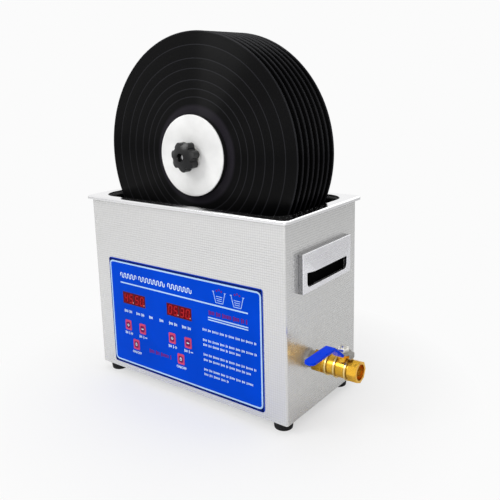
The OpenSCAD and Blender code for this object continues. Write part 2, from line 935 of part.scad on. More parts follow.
module power_rocker() {
    color(key_red) translate([inlet_x, y_side + inlet_t - rocker_pivot, inlet_z + rocker_z])
        rotate([rocker_tilt - 90, 0, 0]) rocker(rocker_w, rocker_h);
}

module at_valve() {
    translate([x_end, y_drain, z_drain]) children();
}

// Elbow from the tank's floor to the valve, with its flange under the drain hole
module drain_elbow() {
    run = x_end + x_collar + pipe_grip - x_drain;
    color(steel_mid) translate([x_drain, y_drain, z_drain]) difference() {
        union() {
            sphere(pipe_r);
            cylinder(h = drain_drop - tank_sheet, r = pipe_r);
            translate([0, 0, drain_drop - tank_sheet - flange_t]) cylinder(h = flange_t, r = flange_r);
            along_x(0) cylinder(h = run, r = pipe_r);
        }
        sphere(pipe_bore_r);
        cylinder(h = drain_drop, r = pipe_bore_r);
        along_x(0) cylinder(h = run + cut, r = pipe_bore_r);
    }
}

module drain_locknut() {
    color(brass_yellow) at_valve() along_x(-casing_sheet - locknut_h) difference() {
        hexagon(locknut_af, locknut_h);
        translate([0, 0, -cut]) cylinder(h = locknut_h + 2 * cut, r = pipe_r + thread_play);
    }
}

// Valve body: a faceted collar at each end of a ringed barrel, and the stem's boss
module valve_body() {
    length = x_outlet + outlet_len;
    color(brass_yellow) at_valve() difference() {
        union() {
            along_x(x_collar) hexagon(collar_af, collar_len);
            along_x(x_collar) cylinder(h = length - x_collar, r = barrel_r);
            for (x = ring_x)
                along_x(ball_x + x - ring_w / 2) cylinder(h = ring_w, r = barrel_r + ring_proud);
            along_x(length - octagon_len) octagon(collar_af, octagon_len);
            translate([ball_x, 0, 0]) cylinder(h = z_gland, r = stem_boss_r);
        }
        along_x(x_collar - cut) cylinder(h = pipe_grip + cut, r = pipe_r + thread_play);
        along_x(0) cylinder(h = length, r = ball_bore_r);
        along_x(ball_x - chamber_half) cylinder(h = 2 * chamber_half, r = chamber_r);
        along_x(x_outlet) cylinder(h = outlet_len + cut, r = outlet_r);
        translate([ball_x, 0, 0]) cylinder(h = z_gland + cut, r = stem_r + bore_play);
    }
}

// Two dished rings that the ball turns against
module valve_seats() {
    color(disc_white) at_valve() for (side = [-1, 1])
        translate([ball_x, 0, 0]) rotate([0, 90 * side, 0]) rotate_extrude() difference() {
            translate([ball_bore_r, ball_r - seat_lap])
                square([chamber_r - bore_play - ball_bore_r, seat_t + seat_lap - bore_play]);
            circle(ball_r + bore_play);
        }
}

module gland_nut() {
    color(brass_yellow) at_valve() translate([ball_x, 0, z_gland]) difference() {
        hexagon(gland_af, gland_h);
        translate([0, 0, -cut]) cylinder(h = gland_h + 2 * cut, r = stem_r + bore_play);
    }
}

module valve_ball() {
    color(steel_light) at_valve() translate([ball_x, 0, 0]) difference() {
        sphere(ball_r);
        along_y(-ball_r - cut) cylinder(h = 2 * (ball_r + cut), r = ball_bore_r);
        translate([-tongue_w / 2 - bore_play, -ball_r, ball_r - tongue_h])
            cube([tongue_w + 2 * bore_play, 2 * ball_r, 2 * tongue_h]);
    }
}

// Stem with a tongue that turns the ball
module valve_stem() {
    z_stem = ball_r + bore_play;
    foot = tongue_h + tongue_lap;
    color(steel_mid) at_valve() translate([ball_x, 0, 0]) {
        translate([0, 0, z_stem]) cylinder(h = z_nut + nut_h + stem_tip - z_stem, r = stem_r);
        translate([0, 0, z_stem - tongue_h]) intersection() {
            cylinder(h = foot, r = stem_r);
            translate([-tongue_w / 2, -stem_r, 0]) cube([tongue_w, 2 * stem_r, foot]);
        }
    }
}

// Cranked lever: a steel hub with a bent ear, and a sleeved neck that rises to the grip
module valve_lever() {
    tip_r = lever_w / 2 - grip_tip_inset;
    color(lever_blue) at_valve() translate([ball_x, 0, z_hub]) difference() {
        union() {
            cylinder(h = lever_t, r = hub_r);
            translate([-lever_neck_w / 2, -hub_reach - lever_fold / 2, 0])
                cube([lever_neck_w, hub_reach / 2 + lever_fold, lever_t]);
            translate([0, -ear_w / 2, 0]) cube([ear_reach, ear_w, lever_t]);
            translate([ear_reach - lever_t, -ear_w / 2, lever_t - ear_drop])
                cube([lever_t, ear_w, ear_drop]);
            rotate([90, 0, -90]) linear_extrude(lever_neck_w, center = true) polygon([
                [hub_reach, -sleeve_t], [hub_reach, lever_t + sleeve_t],
                [grip_start - lever_fold, lever_rise + grip_t], [grip_start, lever_rise + grip_t],
                [grip_start, lever_rise], [grip_start - lever_fold / 2, lever_rise],
                [hub_reach + lever_fold, -sleeve_t]
            ]);
            translate([0, 0, lever_rise]) linear_extrude(grip_t) {
                for (sx = [-1, 1])
                    translate([sx * grip_tip_inset, tip_r - lever_len]) circle(tip_r);
                translate([-lever_w / 2, tip_r - lever_len])
                    square([lever_w, lever_len - tip_r - grip_start]);
                for (sx = [-1, 1])
                    translate([sx * (lever_w / 2 - grip_corner_r), -grip_start]) circle(grip_corner_r);
                translate([grip_corner_r - lever_w / 2, -grip_start])
                    square([lever_w - 2 * grip_corner_r, grip_corner_r]);
            }
        }
        translate([0, 0, -cut]) cylinder(h = lever_t + 2 * cut, r = stem_r + bore_play);
    }
}

module lever_nut() {
    color(steel_light) at_valve() translate([ball_x, 0, z_nut]) difference() {
        hexagon(nut_af, nut_h);
        translate([0, 0, -cut]) cylinder(h = nut_h + 2 * cut, r = stem_r + bore_play);
    }
}

// Bracket that hooks over the rear rim and carries the upright slideway
module rack_bracket() {
    z_leg = z_rim - leg_drop;
    window_h = lift + boss_w + 2 * window_play;
    z_window = z_axis - boss_w / 2 - window_play;
    color(steel_light) difference() {
        union() {
            translate([0, y_leg, (z_leg + z_top) / 2]) rotate([-90, 0, 0]) linear_extrude(rack_sheet)
                rounded_rect(rack_w, z_top - z_leg, rack_corner_r);
            translate([-rack_w / 2, y_leg, z_rim]) cube([rack_w, y_hook + rack_sheet - y_leg, rack_sheet]);
            translate([-rack_w / 2, y_hook, z_rim - hook_leg_h])
                cube([rack_w, rack_sheet, hook_leg_h + rack_sheet]);
            translate([0, 0, clamp_z]) along_y(y_hook)
                cylinder(h = rack_sheet + clamp_boss_h, r = clamp_boss_r);
        }
        translate([0, 0, z_window + window_h / 2]) along_y(y_leg - cut)
            linear_extrude(rack_sheet + 2 * cut)
                rounded_rect(window_w, window_h, window_corner_r);
        for (sx = [-1, 1]) translate([sx * slot_x, 0, z_axis + lift / 2]) along_y(y_leg - cut)
            linear_extrude(rack_sheet + 2 * cut) round_slot(slot_w, lift + slot_w);
        translate([0, 0, clamp_z]) along_y(y_hook - cut)
            cylinder(h = rack_sheet + clamp_boss_h + 2 * cut, r = clamp_r + bore_play);
    }
}

// Thumb screw that clamps the bracket against the casing's rear wall
module clamp_screw() {
    y_tip = y_side + clamp_tip_gap;
    y_grip = y_hook + rack_sheet + clamp_boss_h + clamp_grip_gap;
    color(plastic_black) translate([0, 0, clamp_z]) {
        along_y(y_tip) cylinder(h = clamp_pad_t, r = clamp_pad_r);
        along_y(y_tip) cylinder(h = y_grip - y_tip + cut, r = clamp_r);
        along_y(y_grip) star_grip(grip_h, grip_hub_r, grip_lobe_r, grip_r, grip_lobes, 2 * grip_r);
    }
}

module at_axis() {
    translate([0, 0, z_axis]) children();
}

// Carriage that slides up the bracket, with a headed guide stud and the lock's stud
module carriage_plate() {
    color(steel_light) at_axis() {
        difference() {
            along_y(y_plate) linear_extrude(plate_t) rounded_rect(plate_w, plate_h, plate_corner_r);
            along_y(y_plate - cut) cylinder(h = plate_t + 2 * cut, r = shaft_hole_r);
        }
        translate([-slot_x, 0, 0]) {
            along_y(y_plate + plate_t) cylinder(h = slide_gap * 2 + rack_sheet + stud_head_h, r = stud_r);
            along_y(y_leg_back + slide_gap) cylinder(h = stud_head_h, r = stud_head_r);
        }
        translate([slot_x, 0, 0]) along_y(y_plate + plate_t)
            cylinder(h = slide_gap * 2 + rack_sheet + grip_h - cut, r = stud_r);
    }
}

// Lock knob on the carriage's stud
module lift_knob() {
    color(plastic_black) at_axis() translate([slot_x, 0, 0]) along_y(y_leg_back + slide_gap) difference() {
        union() {
            cylinder(h = stud_head_h + cut, r = stud_head_r);
            translate([0, 0, stud_head_h])
                star_grip(grip_h, grip_hub_r, grip_lobe_r, grip_r, grip_lobes, 2 * grip_r);
        }
        translate([0, 0, -cut]) cylinder(h = grip_h + cut, r = stud_r + bore_play);
    }
}

module bearing_housing() {
    color(plastic_black) at_axis() difference() {
        union() {
            along_y(y_bearing) cylinder(h = bearing_len, r = bearing_r);
            along_y(y_plate - bearing_flange_t) cylinder(h = bearing_flange_t, r = bearing_flange_r);
        }
        along_y(y_bearing - cut) cylinder(h = bearing_len + 2 * cut, r = bush_r);
    }
}

module bearing_bushes() {
    color(bronze_brown) at_axis() for (y = [y_bearing, y_plate - bush_len])
        along_y(y) tube(bush_len, bush_r, shaft_r + shaft_play);
}

module motor_housing() {
    color(plastic_black) at_axis() difference() {
        union() {
            along_y(y_motor) linear_extrude(motor_d) rounded_rect(motor_w, motor_h, motor_corner_r);
            along_y(y_plate_back) linear_extrude(y_motor - y_plate_back + cut)
                rounded_rect(boss_w, boss_w, boss_corner_r);
        }
        along_y(y_motor_in) linear_extrude(motor_d)
            rounded_rect(motor_w - 2 * motor_wall, motor_h - 2 * motor_wall, motor_corner_r - motor_wall);
        along_y(y_plate_back - cut) cylinder(h = motor_d, r = shaft_hole_r);
        translate([0, y_motor + motor_d / 2, motor_h / 2])
            cube([motor_rocker_w + 2 * rocker_side_play, motor_rocker_h + 2 * rocker_end_play,
                4 * motor_wall], center = true);
        translate([0, y_cover - jack_y, -motor_h / 2 + jack_z]) along_x(motor_w / 2 - 2 * motor_wall)
            cylinder(h = 4 * motor_wall, r = jack_r + bore_play);
    }
    color(plastic_black) at_axis() translate([0, y_motor + motor_d / 2, motor_h / 2 - rocker_pivot]) {
        rocker_pins(motor_rocker_w);
        for (side = [0, 1]) mirror([side, 0, 0])
            translate([motor_rocker_w / 2 + rocker_side_play, -lug_d / 2, -lug_h])
                cube([lug_w, lug_d, lug_h + rocker_pivot - sink]);
    }
}

// Cover with the heads of its four screws
module motor_cover() {
    color(plastic_black) at_axis() along_y(y_cover) linear_extrude(cover_t)
        rounded_rect(motor_w, motor_h, motor_corner_r);
    color(steel_mid) at_axis() for (sx = [-1, 1], sz = [-1, 1])
        translate([sx * (motor_w / 2 - cover_screw_inset), 0, sz * (motor_h / 2 - cover_screw_inset)])
            along_y(y_cover + cover_t - sink) difference() {
                cylinder(h = cover_screw_h + sink, r = cover_screw_r);
                translate([0, 0, sink + cover_screw_h / 2 + cut])
                    cube([2 * cover_screw_r + cut, cover_slot_w, 2 * cut], center = true);
            }
}

// Flat geared motor with a hollow output that takes the spindle's end
module gear_motor() {
    color(steel_mid) at_axis() difference() {
        union() {
            along_y(y_motor_in) cylinder(h = can_d, r = can_r);
            along_y(y_motor_in + can_d) cylinder(h = y_cover - y_motor_in - can_d, r = can_boss_r);
        }
        along_y(y_motor_in - cut) cylinder(h = shaft_grip + cut, r = shaft_r + shaft_play);
    }
}

module motor_rocker() {
    color(key_red) at_axis()
        translate([0, y_motor + motor_d / 2, motor_h / 2 - rocker_pivot])
            rotate([rocker_tilt, 0, 0]) rocker(motor_rocker_w, motor_rocker_h);
}

module dc_jack() {
    color(plastic_black) at_axis()
        translate([motor_w / 2 + jack_proud - jack_len, y_cover - jack_y, -motor_h / 2 + jack_z])
            rotate([0, 90, 0]) {
                difference() {
                    cylinder(h = jack_len, r = jack_r);
                    translate([0, 0, jack_floor]) cylinder(h = jack_len, r = jack_bore_r);
                }
                cylinder(h = jack_len - jack_floor, r = jack_pin_r);
            }
}

// Spindle: threaded nose, record seat, thrust collar and the shaft into the motor
module spindle() {
    color(steel_light) at_axis() {
        along_y(y_knob + knob_recess) cylinder(h = y_disc - y_knob, r = thread_r);
        along_y(y_disc) cylinder(h = y_collar - y_disc, r = spindle_r);
        along_y(y_collar) cylinder(h = collar_t, r = collar_r);
        along_y(y_collar) cylinder(h = y_motor_in + shaft_grip - shaft_end_gap - y_collar, r = shaft_r);
    }
}

module rear_disc() {
    color(disc_white) at_axis() along_y(y_stack_back + rear_disc_t) mirror([0, 0, 1])
        edged_disc(rear_disc_t, disc_r, spindle_r + bore_play, disc_edge);
}

// Spacers that keep the records apart and cover their labels
module label_spacers() {
    rim = spacer_r - spacer_rim;
    web_low = (record_gap - spacer_web) / 2;
    web_high = web_low + spacer_web;
    color(plastic_black) at_axis() for (k = [0:record_count - 2])
        along_y(y_stack + record_t + k * record_pitch) rotate_extrude() polygon([
            [spindle_r + bore_play, 0], [spacer_hub_r, 0], [spacer_hub_r, web_low],
            [rim, web_low], [rim, 0], [spacer_r, 0], [spacer_r, record_gap],
            [rim, record_gap], [rim, web_high], [spacer_hub_r, web_high],
            [spacer_hub_r, record_gap], [spindle_r + bore_play, record_gap]
        ]);
}

// Record: thick at the label and along its beaded edge, thinner where it is grooved
module record(k) {
    half = record_t / 2;
    groove = groove_t / 2;
    bead = bead_t / 2;
    color(vinyl_black) at_axis() along_y(y_stack + k * record_pitch + half)
        rotate_extrude(convexity = 4) polygon([
            [record_hole_r, -half], [label_r, -half], [label_r + label_slope, -groove],
            [record_r - bead_w, -groove], [record_r - bead_w / 2, -bead],
            [record_r - bead_edge, -bead], [record_r, -bead / 2], [record_r, bead / 2],
            [record_r - bead_edge, bead], [record_r - bead_w / 2, bead],
            [record_r - bead_w, groove], [label_r + label_slope, groove],
            [label_r, half], [record_hole_r, half]
        ]);
}

module record_1() { record(0); }
module record_2() { record(1); }
module record_3() { record(2); }
module record_4() { record(3); }
module record_5() { record(4); }
module record_6() { record(5); }
module record_7() { record(6); }
module record_8() { record(7); }

// Front label disc with its seal
module label_disc() {
    at_axis() {
        color(disc_white) along_y(y_disc)
            edged_disc(disc_t, disc_r, spindle_r + bore_play, disc_edge);
        color(rubber_black) along_y(y_disc + disc_t) tube(seal_t, seal_r, seal_r - seal_w);
    }
}

module clamp_washer() {
    color(steel_light) at_axis() along_y(y_washer) tube(washer_t, washer_r, thread_r + bore_play);
}

module star_knob() {
    color(plastic_black) at_axis() translate([0, y_washer, 0]) rotate([90, 0, 0]) difference() {
        union() {
            translate([0, 0, knob_collar_h])
                star_grip(knob_h - knob_collar_h, knob_hub_r, knob_lobe_r, knob_r, knob_lobes, knob_dome_r);
            cylinder(h = knob_collar_h + cut, r = knob_collar_r);
        }
        translate([0, 0, -cut]) cylinder(h = knob_h + cut, r = thread_r + bore_play);
        translate([0, 0, knob_h - knob_recess]) cylinder(h = knob_recess + cut, r = knob_recess_r);
    }
}

casing();
base_plate();
feet();
foot_screws();
tank();
control_panel();
displays();
control_board();
key_temp_up();
key_temp_down();
key_heat();
key_time_up();
key_time_down();
key_clean();
handle_right();
handle_left();
handle_cups();
transducer_horns();
transducer_ceramics();
transducer_backs();
transducer_bolts();
heater_pads();
generator_board();
board_parts();
power_inlet();
power_rocker();
drain_elbow();
drain_locknut();
valve_body();
valve_seats();
gland_nut();
valve_ball();
valve_stem();
valve_lever();
lever_nut();
rack_bracket();
clamp_screw();
carriage_plate();
lift_knob();
bearing_housing();
bearing_bushes();
motor_housing();
motor_cover();
gear_motor();
motor_rocker();
dc_jack();
spindle();
rear_disc();
label_spacers();
record_1();
record_2();
record_3();
record_4();
record_5();
record_6();
record_7();
record_8();
label_disc();
clamp_washer();
star_knob();
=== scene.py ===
import json
import math

import bmesh
import bpy
from mathutils import Matrix, Vector


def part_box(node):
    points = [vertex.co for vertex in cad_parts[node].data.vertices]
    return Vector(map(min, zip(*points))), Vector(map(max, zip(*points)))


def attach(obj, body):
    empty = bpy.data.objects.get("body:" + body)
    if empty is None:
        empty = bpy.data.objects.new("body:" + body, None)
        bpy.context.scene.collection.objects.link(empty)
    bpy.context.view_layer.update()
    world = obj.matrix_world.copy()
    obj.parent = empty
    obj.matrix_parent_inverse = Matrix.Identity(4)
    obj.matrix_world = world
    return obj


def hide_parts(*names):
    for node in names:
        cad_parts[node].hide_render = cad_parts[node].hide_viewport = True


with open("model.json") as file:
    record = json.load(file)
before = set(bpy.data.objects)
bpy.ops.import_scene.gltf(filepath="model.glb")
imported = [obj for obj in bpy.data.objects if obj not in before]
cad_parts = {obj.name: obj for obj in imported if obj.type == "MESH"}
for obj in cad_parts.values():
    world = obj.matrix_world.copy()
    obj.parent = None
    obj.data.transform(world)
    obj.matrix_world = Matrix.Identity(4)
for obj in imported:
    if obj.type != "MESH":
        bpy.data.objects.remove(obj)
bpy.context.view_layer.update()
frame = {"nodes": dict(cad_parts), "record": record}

# Every length is in metres. X runs along the front, Y to the back and Z up.
MM = 0.001
nodes = frame["nodes"]

# Edges that turn by more than this many degrees are rounded, the rest are shaded smooth
CREASE = 32

# Radii, in millimetres, of the plain rings between a record's tracks
RECORD_BANDS = (134.6, 118.5, 106.4, 92.7, 81.8, 72.0)

# How far a handle's plate stands proud of the casing
HANDLE_PROUD = 6.6 * MM


def low(node):
    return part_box(node)[0]


def high(node):
    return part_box(node)[1]


def middle(node):
    return (low(node) + high(node)) / 2


# Tools for modelling

def clear():
    for other in bpy.context.selected_objects:
        other.select_set(False)


def activate(piece):
    """Leaves this piece as the only one selected."""
    clear()
    piece.select_set(True)
    bpy.context.view_layer.objects.active = piece


def edit(piece):
    activate(piece)
    bpy.ops.object.mode_set(mode="EDIT")
    bpy.ops.mesh.select_mode(type="VERT")
    bpy.ops.mesh.select_all(action="SELECT")


def leave_edit():
    bpy.ops.object.mode_set(mode="OBJECT")


def settle(piece):
    """Puts the piece's place and turn into its mesh."""
    activate(piece)
    bpy.ops.object.transform_apply(location=True, rotation=True, scale=True)


def pick(piece, wanted, kind="VERT"):
    """In edit mode, selects the vertices, or the edges, whose middle passes the test."""
    bpy.ops.mesh.select_mode(type=kind)
    bpy.ops.mesh.select_all(action="DESELECT")
    shape = bmesh.from_edit_mesh(piece.data)
    if kind == "VERT":
        for vert in shape.verts:
            vert.select_set(bool(wanted(vert.co)))
    else:
        for edge in shape.edges:
            edge.select_set(bool(wanted((edge.verts[0].co + edge.verts[1].co) / 2)))
    bmesh.update_edit_mesh(piece.data)


def modify(piece, kind, **settings):
    """Adds a modifier and applies it at once."""
    activate(piece)
    modifier = piece.modifiers.new(kind.lower(), kind)
    for name, value in settings.items():
        setattr(modifier, name, value)
    bpy.ops.object.modifier_apply(modifier=modifier.name)


def smooth(piece, angle):
    activate(piece)
    bpy.ops.object.shade_smooth_by_angle(angle=math.radians(angle))


def round_edges(piece, width, rounds):
    """Rounds every edge sharper than a crease and keeps the flats flat."""
    modify(piece, "BEVEL", width=width, segments=rounds, limit_method="ANGLE",
           angle_limit=math.radians(CREASE), use_clamp_overlap=True)
    smooth(piece, CREASE + 15)
    modify(piece, "WEIGHTED_NORMAL", keep_sharp=True, weight=60)


def own(piece, name, body, material, slot, *replaced):
    """Names a finished piece and says what it rides on, looks like and stands for."""
    piece.name = name
    piece.data.name = name
    piece.data.materials.clear()
    piece.data.materials.append(material)
    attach(piece, body)
    if replaced:
        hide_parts(*replaced)
    return piece


def body_of(node):
    return next(body for body, members in frame["record"]["behaviour"]["bodies"].items()
                if node in members)


def fair_copy(node, material, slot, width, rounds=2):
    """Copy of a CAD node with its facets joined and its edges rounded, in the node's place."""
    piece = bpy.data.objects.new(node + "_finished", nodes[node].data.copy())
    bpy.context.scene.collection.objects.link(piece)
    activate(piece)
    if piece.data.has_custom_normals:
        bpy.ops.mesh.customdata_custom_splitnormals_clear()
    edit(piece)
    bpy.ops.mesh.remove_doubles(threshold=0.002 * MM)
    bpy.ops.mesh.dissolve_limited(angle_limit=math.radians(0.6))
    leave_edit()
    if width:
        round_edges(piece, width, rounds)
    else:
        smooth(piece, CREASE)
    return own(piece, node + "_finished", body_of(node), material, slot, node)


def join(pieces):
    """Joins pieces into the first of them."""
    activate(pieces[0])
    for piece in pieces[1:]:
        piece.select_set(True)
    if len(pieces) > 1:
        bpy.ops.object.join()
    return bpy.context.object


def moved(piece, x, y, z):
    """Moves the mesh and leaves the origin where it is."""
    piece.data.transform(Matrix.Translation((x, y, z)))
    return piece


def copied(piece, dx=0, dy=0, dz=0, turn=None):
    """Copy with a mesh of its own, moved and, if asked, turned by a matrix first."""
    twin = bpy.data.objects.new(piece.name, piece.data.copy())
    bpy.context.scene.collection.objects.link(twin)
    if turn is not None:
        twin.data.transform(turn)
    return moved(twin, dx, dy, dz)


def remove(piece):
    bpy.data.objects.remove(piece)


def face_plate(width, height, thickness, corner=0, line=0):
    """Upright rectangle that faces the front, with its back at y = 0, centred.
    With a line width it is only a frame of that width."""
    clear()
    bpy.ops.mesh.primitive_plane_add(size=1, rotation=(math.pi / 2, 0, 0))
    piece = bpy.context.object
    piece.scale = (width, height, 1)
    settle(piece)
    edit(piece)
    if corner:
        bpy.ops.mesh.bevel(offset=corner, segments=8, affect="VERTICES")
    if line:
        bpy.ops.mesh.select_mode(type="FACE")
        bpy.ops.mesh.select_all(action="SELECT")
        bpy.ops.mesh.inset(thickness=line, depth=0)
        bpy.ops.mesh.delete(type="FACE")
    leave_edit()
    modify(piece, "SOLIDIFY", thickness=thickness, offset=1)
    return piece


def turned(profile, steps, axis_z):
    """Body turned round an axis along Y: a ring is drawn and extruded through each
    (radius, distance) of a closed profile, then closed on itself."""
    clear()
    radius, place = profile[0]
    bpy.ops.mesh.primitive_circle_add(vertices=steps, radius=radius, location=(0, 0, place))
    piece = bpy.context.object
    settle(piece)
    edit(piece)
    for radius_next, place_next in profile[1:] + profile[:1]:
        bpy.ops.mesh.extrude_region_move(
            TRANSFORM_OT_translate={"value": (0, 0, place_next - place)})
        share = radius_next / radius
        bpy.ops.transform.resize(value=(share, share, 1), center_override=(0, 0, place_next))
        radius, place = radius_next, place_next
    bpy.ops.mesh.select_all(action="SELECT")
    bpy.ops.mesh.remove_doubles(threshold=0.001 * MM)
    bpy.ops.mesh.normals_make_consistent(inside=False)
    leave_edit()
    piece.rotation_euler = (-math.pi / 2, 0, 0)
    piece.location = (0, 0, axis_z)
    settle(piece)
    smooth(piece, 30)
    return piece


def lettering(words, height, thickness):
    """Plain lettering that faces the front, centred, with its back at y = 0."""
    clear()
    bpy.ops.object.text_add(rotation=(math.pi / 2, 0, 0))
    piece = bpy.context.object
    piece.data.body = words
    piece.data.size = height
    piece.data.align_x = "CENTER"
    piece.data.align_y = "CENTER"
    piece.data.extrude = thickness / 2
    piece.data.resolution_u = 3
    piece.data.offset = height * 0.03
    bpy.ops.object.convert(target="MESH")
    settle(piece)
    edit(piece)
    bpy.ops.mesh.remove_doubles(threshold=0.001 * MM)
    leave_edit()
    return moved(piece, 0, -thickness / 2, 0)


# Materials. Each reads Object coordinates, so its pattern stays on the piece.

class Finish:
    """A Principled surface and the few nodes that most finishes share."""

    def __init__(self, name, colour, metallic, roughness, **sockets):
        self.material = bpy.data.materials.new(name)
        self.material.use_nodes = True
        self.tree = self.material.node_tree
        self.shader = self.tree.nodes["Principled BSDF"]
        self.colour = colour
        self.shader.inputs["Base Color"].default_value = (*colour, 1)
        self.shader.inputs["Metallic"].default_value = metallic
        self.shader.inputs["Roughness"].default_value = roughness
        for socket, value in sockets.items():
            self.shader.inputs[socket.replace("_", " ")].default_value = value
        self.coords = self.node("ShaderNodeTexCoord").outputs["Object"]

    def node(self, kind, **settings):
        made = self.tree.nodes.new(kind)
        for name, value in settings.items():
            setattr(made, name, value)
        return made

    def link(self, source, target):
        self.tree.links.new(source, target)

    def drive(self, socket, source):
        """Lets an output set this socket of the surface."""
        self.link(source, self.shader.inputs[socket])

    def stretched(self, scale):
        mapping = self.node("ShaderNodeMapping")
        mapping.inputs["Scale"].default_value = scale
        self.link(self.coords, mapping.inputs["Vector"])
        return mapping.outputs["Vector"]

    def noise(self, scale, detail, vector=None):
        made = self.node("ShaderNodeTexNoise")
        made.inputs["Scale"].default_value = scale
        made.inputs["Detail"].default_value = detail
        self.link(vector or self.coords, made.inputs["Vector"])
        return made.outputs["Fac"]

    def math(self, operation, first, second=None):
        made = self.node("ShaderNodeMath", operation=operation)
        for socket, value in zip(made.inputs, (first, second)):
            if isinstance(value, (int, float)):
                socket.default_value = value
            elif value is not None:
                self.link(value, socket)
        return made.outputs[0]

    def span(self, value, low_in, high_in, low_out, high_out):
        """Maps a value from one range to another and holds it at the ends."""
        made = self.node("ShaderNodeMapRange", clamp=True)
        for name, number in (("From Min", low_in), ("From Max", high_in),
                             ("To Min", low_out), ("To Max", high_out)):
            made.inputs[name].default_value = number
        self.link(value, made.inputs["Value"])
        return made.outputs["Result"]

    def blend(self, share, first, second):
        """Mixes two colours, each a tuple or an output."""
        made = self.node("ShaderNodeMix", data_type="RGBA")
        self.link(share, made.inputs["Factor"])
        for socket, value in ((made.inputs[6], first), (made.inputs[7], second)):
            if isinstance(value, tuple):
                socket.default_value = (*value, 1)
            else:
                self.link(value, socket)
        return made.outputs[2]

    def paint(self, share, second):
        """Blends the base colour towards a second one."""
        colour = self.blend(share, self.colour, second)
        self.drive("Base Color", colour)
        return colour

    def rough(self, share, lowest, highest):
        self.drive("Roughness", self.span(share, 0.15, 0.85, lowest, highest))

    def apart(self):
        """The X, Y and Z of the Object coordinates."""
        parts = self.node("ShaderNodeSeparateXYZ")
        self.link(self.coords, parts.inputs[0])
        return parts.outputs

    def bump(self, height, distance, strength):
        made = self.node("ShaderNodeBump")
        made.inputs["Strength"].default_value = strength
        made.inputs["Distance"].default_value = distance
        self.link(height, made.inputs["Height"])
        self.drive("Normal", made.outputs["Normal"])


def tinted(colour, share):
    return tuple(min(1.0, c * share) for c in colour)


def grained_steel(name, colour, roughness, stretch):
    """Satin steel with a fine directional grain and faint cloudy patches."""
    finish = Finish(name, colour, 1.0, roughness)
    grain = finish.noise(3500, 2, finish.stretched(stretch))
    cloud = finish.noise(14, 3)
    finish.paint(finish.span(cloud, 0.2, 0.8, 0, 0.6), tinted(colour, 0.9))
    finish.rough(finish.math("ADD", finish.math("MULTIPLY", grain, 0.6),
                             finish.math("MULTIPLY", cloud, 0.4)), roughness * 0.8, roughness * 1.2)
    finish.bump(grain, 0.00002, 0.06)
    return finish.material


def pressed_handle(name, colour, roughness):
    """Satin pressing: bright face, with painted shade on its walls and painted black shade inside
    its hood.
    """
    metal = 0.7
    finish = Finish(name, colour, metal, roughness, Specular_IOR_Level=0.05)
    x, y, z = finish.apart()
    start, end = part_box("handle_right")
    half_z = (end.z - start.z) / 2
    face_x = high("casing").x + HANDLE_PROUD
    # Painted shade: everything behind the face, inside the hood and on the walls
    hood_shade_share = finish.span(finish.math("ABSOLUTE", x), face_x - 1.3 * MM, face_x - 0.7 * MM, 1, 0)
    off_y = finish.math("ABSOLUTE", y)
    off_z = finish.math("ABSOLUTE", finish.math("SUBTRACT", z, (start.z + end.z) / 2))
    wall = finish.math("MAXIMUM",
                       finish.span(off_y, end.y - 0.8 * MM, end.y - 0.7 * MM, 0, 1),
                       finish.span(off_z, half_z - 0.8 * MM, half_z - 0.7 * MM, 0, 1))
    cloud = finish.noise(14, 3)
    face = finish.paint(finish.span(cloud, 0.2, 0.8, 0, 0.6), tinted(colour, 0.86))
    # Painted shade: near black inside the hood, the steel darkened to a third on the walls
    painted_shade_colour = finish.blend(wall, (0.002, 0.002, 0.002), tinted(colour, 0.32))
    finish.drive("Base Color", finish.blend(hood_shade_share, face, painted_shade_colour))
    # The painted black inside the hood is not metallic, so it shows no reflection
    hidden = finish.math("MULTIPLY", hood_shade_share, finish.math("SUBTRACT", 1, wall))
    shown = finish.math("SUBTRACT", 1, hidden)
    finish.drive("Metallic", finish.math("MULTIPLY", shown, metal))
    grain = finish.noise(400, 2, finish.stretched((1, 0.04, 1)))
    finish.rough(grain, roughness * 0.9, roughness * 1.1)
    return finish.material


def linen_steel(name, colour, roughness):
    """Stainless sheet rolled with a fine square grid."""
    finish = Finish(name, colour, 0.7, roughness)
    pitch, groove = 3.0 * MM, 0.5 * MM
    x, y, z = finish.apart()
    ridges = []
    for value in (finish.math("ADD", x, y), z):
        wave = finish.math("PINGPONG", value, pitch / 2)
        ridges.append(finish.span(wave, 0, groove, 0, 1))
    squares = finish.math("MULTIPLY", *ridges)
    cloud = finish.noise(9, 3)
    # Painted shade: the grooves between the squares are darker
    groove_shaded = finish.blend(squares, tinted(colour, 0.8), colour)
    finish.drive("Base Color", finish.blend(finish.span(cloud, 0.2, 0.8, 0, 0.3), groove_shaded,
                                            tinted(colour, 0.94)))
    finish.bump(squares, 0.00015, 0.5)
    return finish.material


def tank_steel_finish(name, colour, roughness):
    """Drawn tank: bright on the rim, with painted shade where the walls go down round the records:
    near black, not metallic and rougher.
    """
    finish = Finish(name, colour, 1.0, roughness, Specular_IOR_Level=0.05)
    x, y, z = finish.apart()
    rim_z = high("tank").z
    depth = finish.span(z, rim_z - 6 * MM, rim_z - 1.0 * MM, 1, 0)
    outer = high("casing")
    wall = []
    for value, reach in ((x, outer.x), (y, outer.y)):
        away = finish.math("ABSOLUTE", value)
        wall.append(finish.span(away, reach - 5 * MM, reach - 4 * MM, 1, 0))
    # Painted shade inside the walls below the rim
    inside = finish.math("MULTIPLY", depth, finish.math("MULTIPLY", *wall))
    grain = finish.noise(500, 2, finish.stretched((1, 1, 0.04)))
    cloud = finish.noise(12, 3)
    base = finish.blend(finish.span(cloud, 0.35, 0.7, 0, 0.4), colour, tinted(colour, 0.88))
    finish.drive("Base Color", finish.blend(inside, base, (0.006, 0.006, 0.007)))
    finish.drive("Metallic", finish.math("SUBTRACT", 1, inside))
    satin = finish.span(grain, 0.15, 0.85, roughness * 0.95, roughness * 1.05)
    finish.drive("Roughness", finish.math("ADD", satin, finish.math("MULTIPLY", inside, 0.6)))
    return finish.material


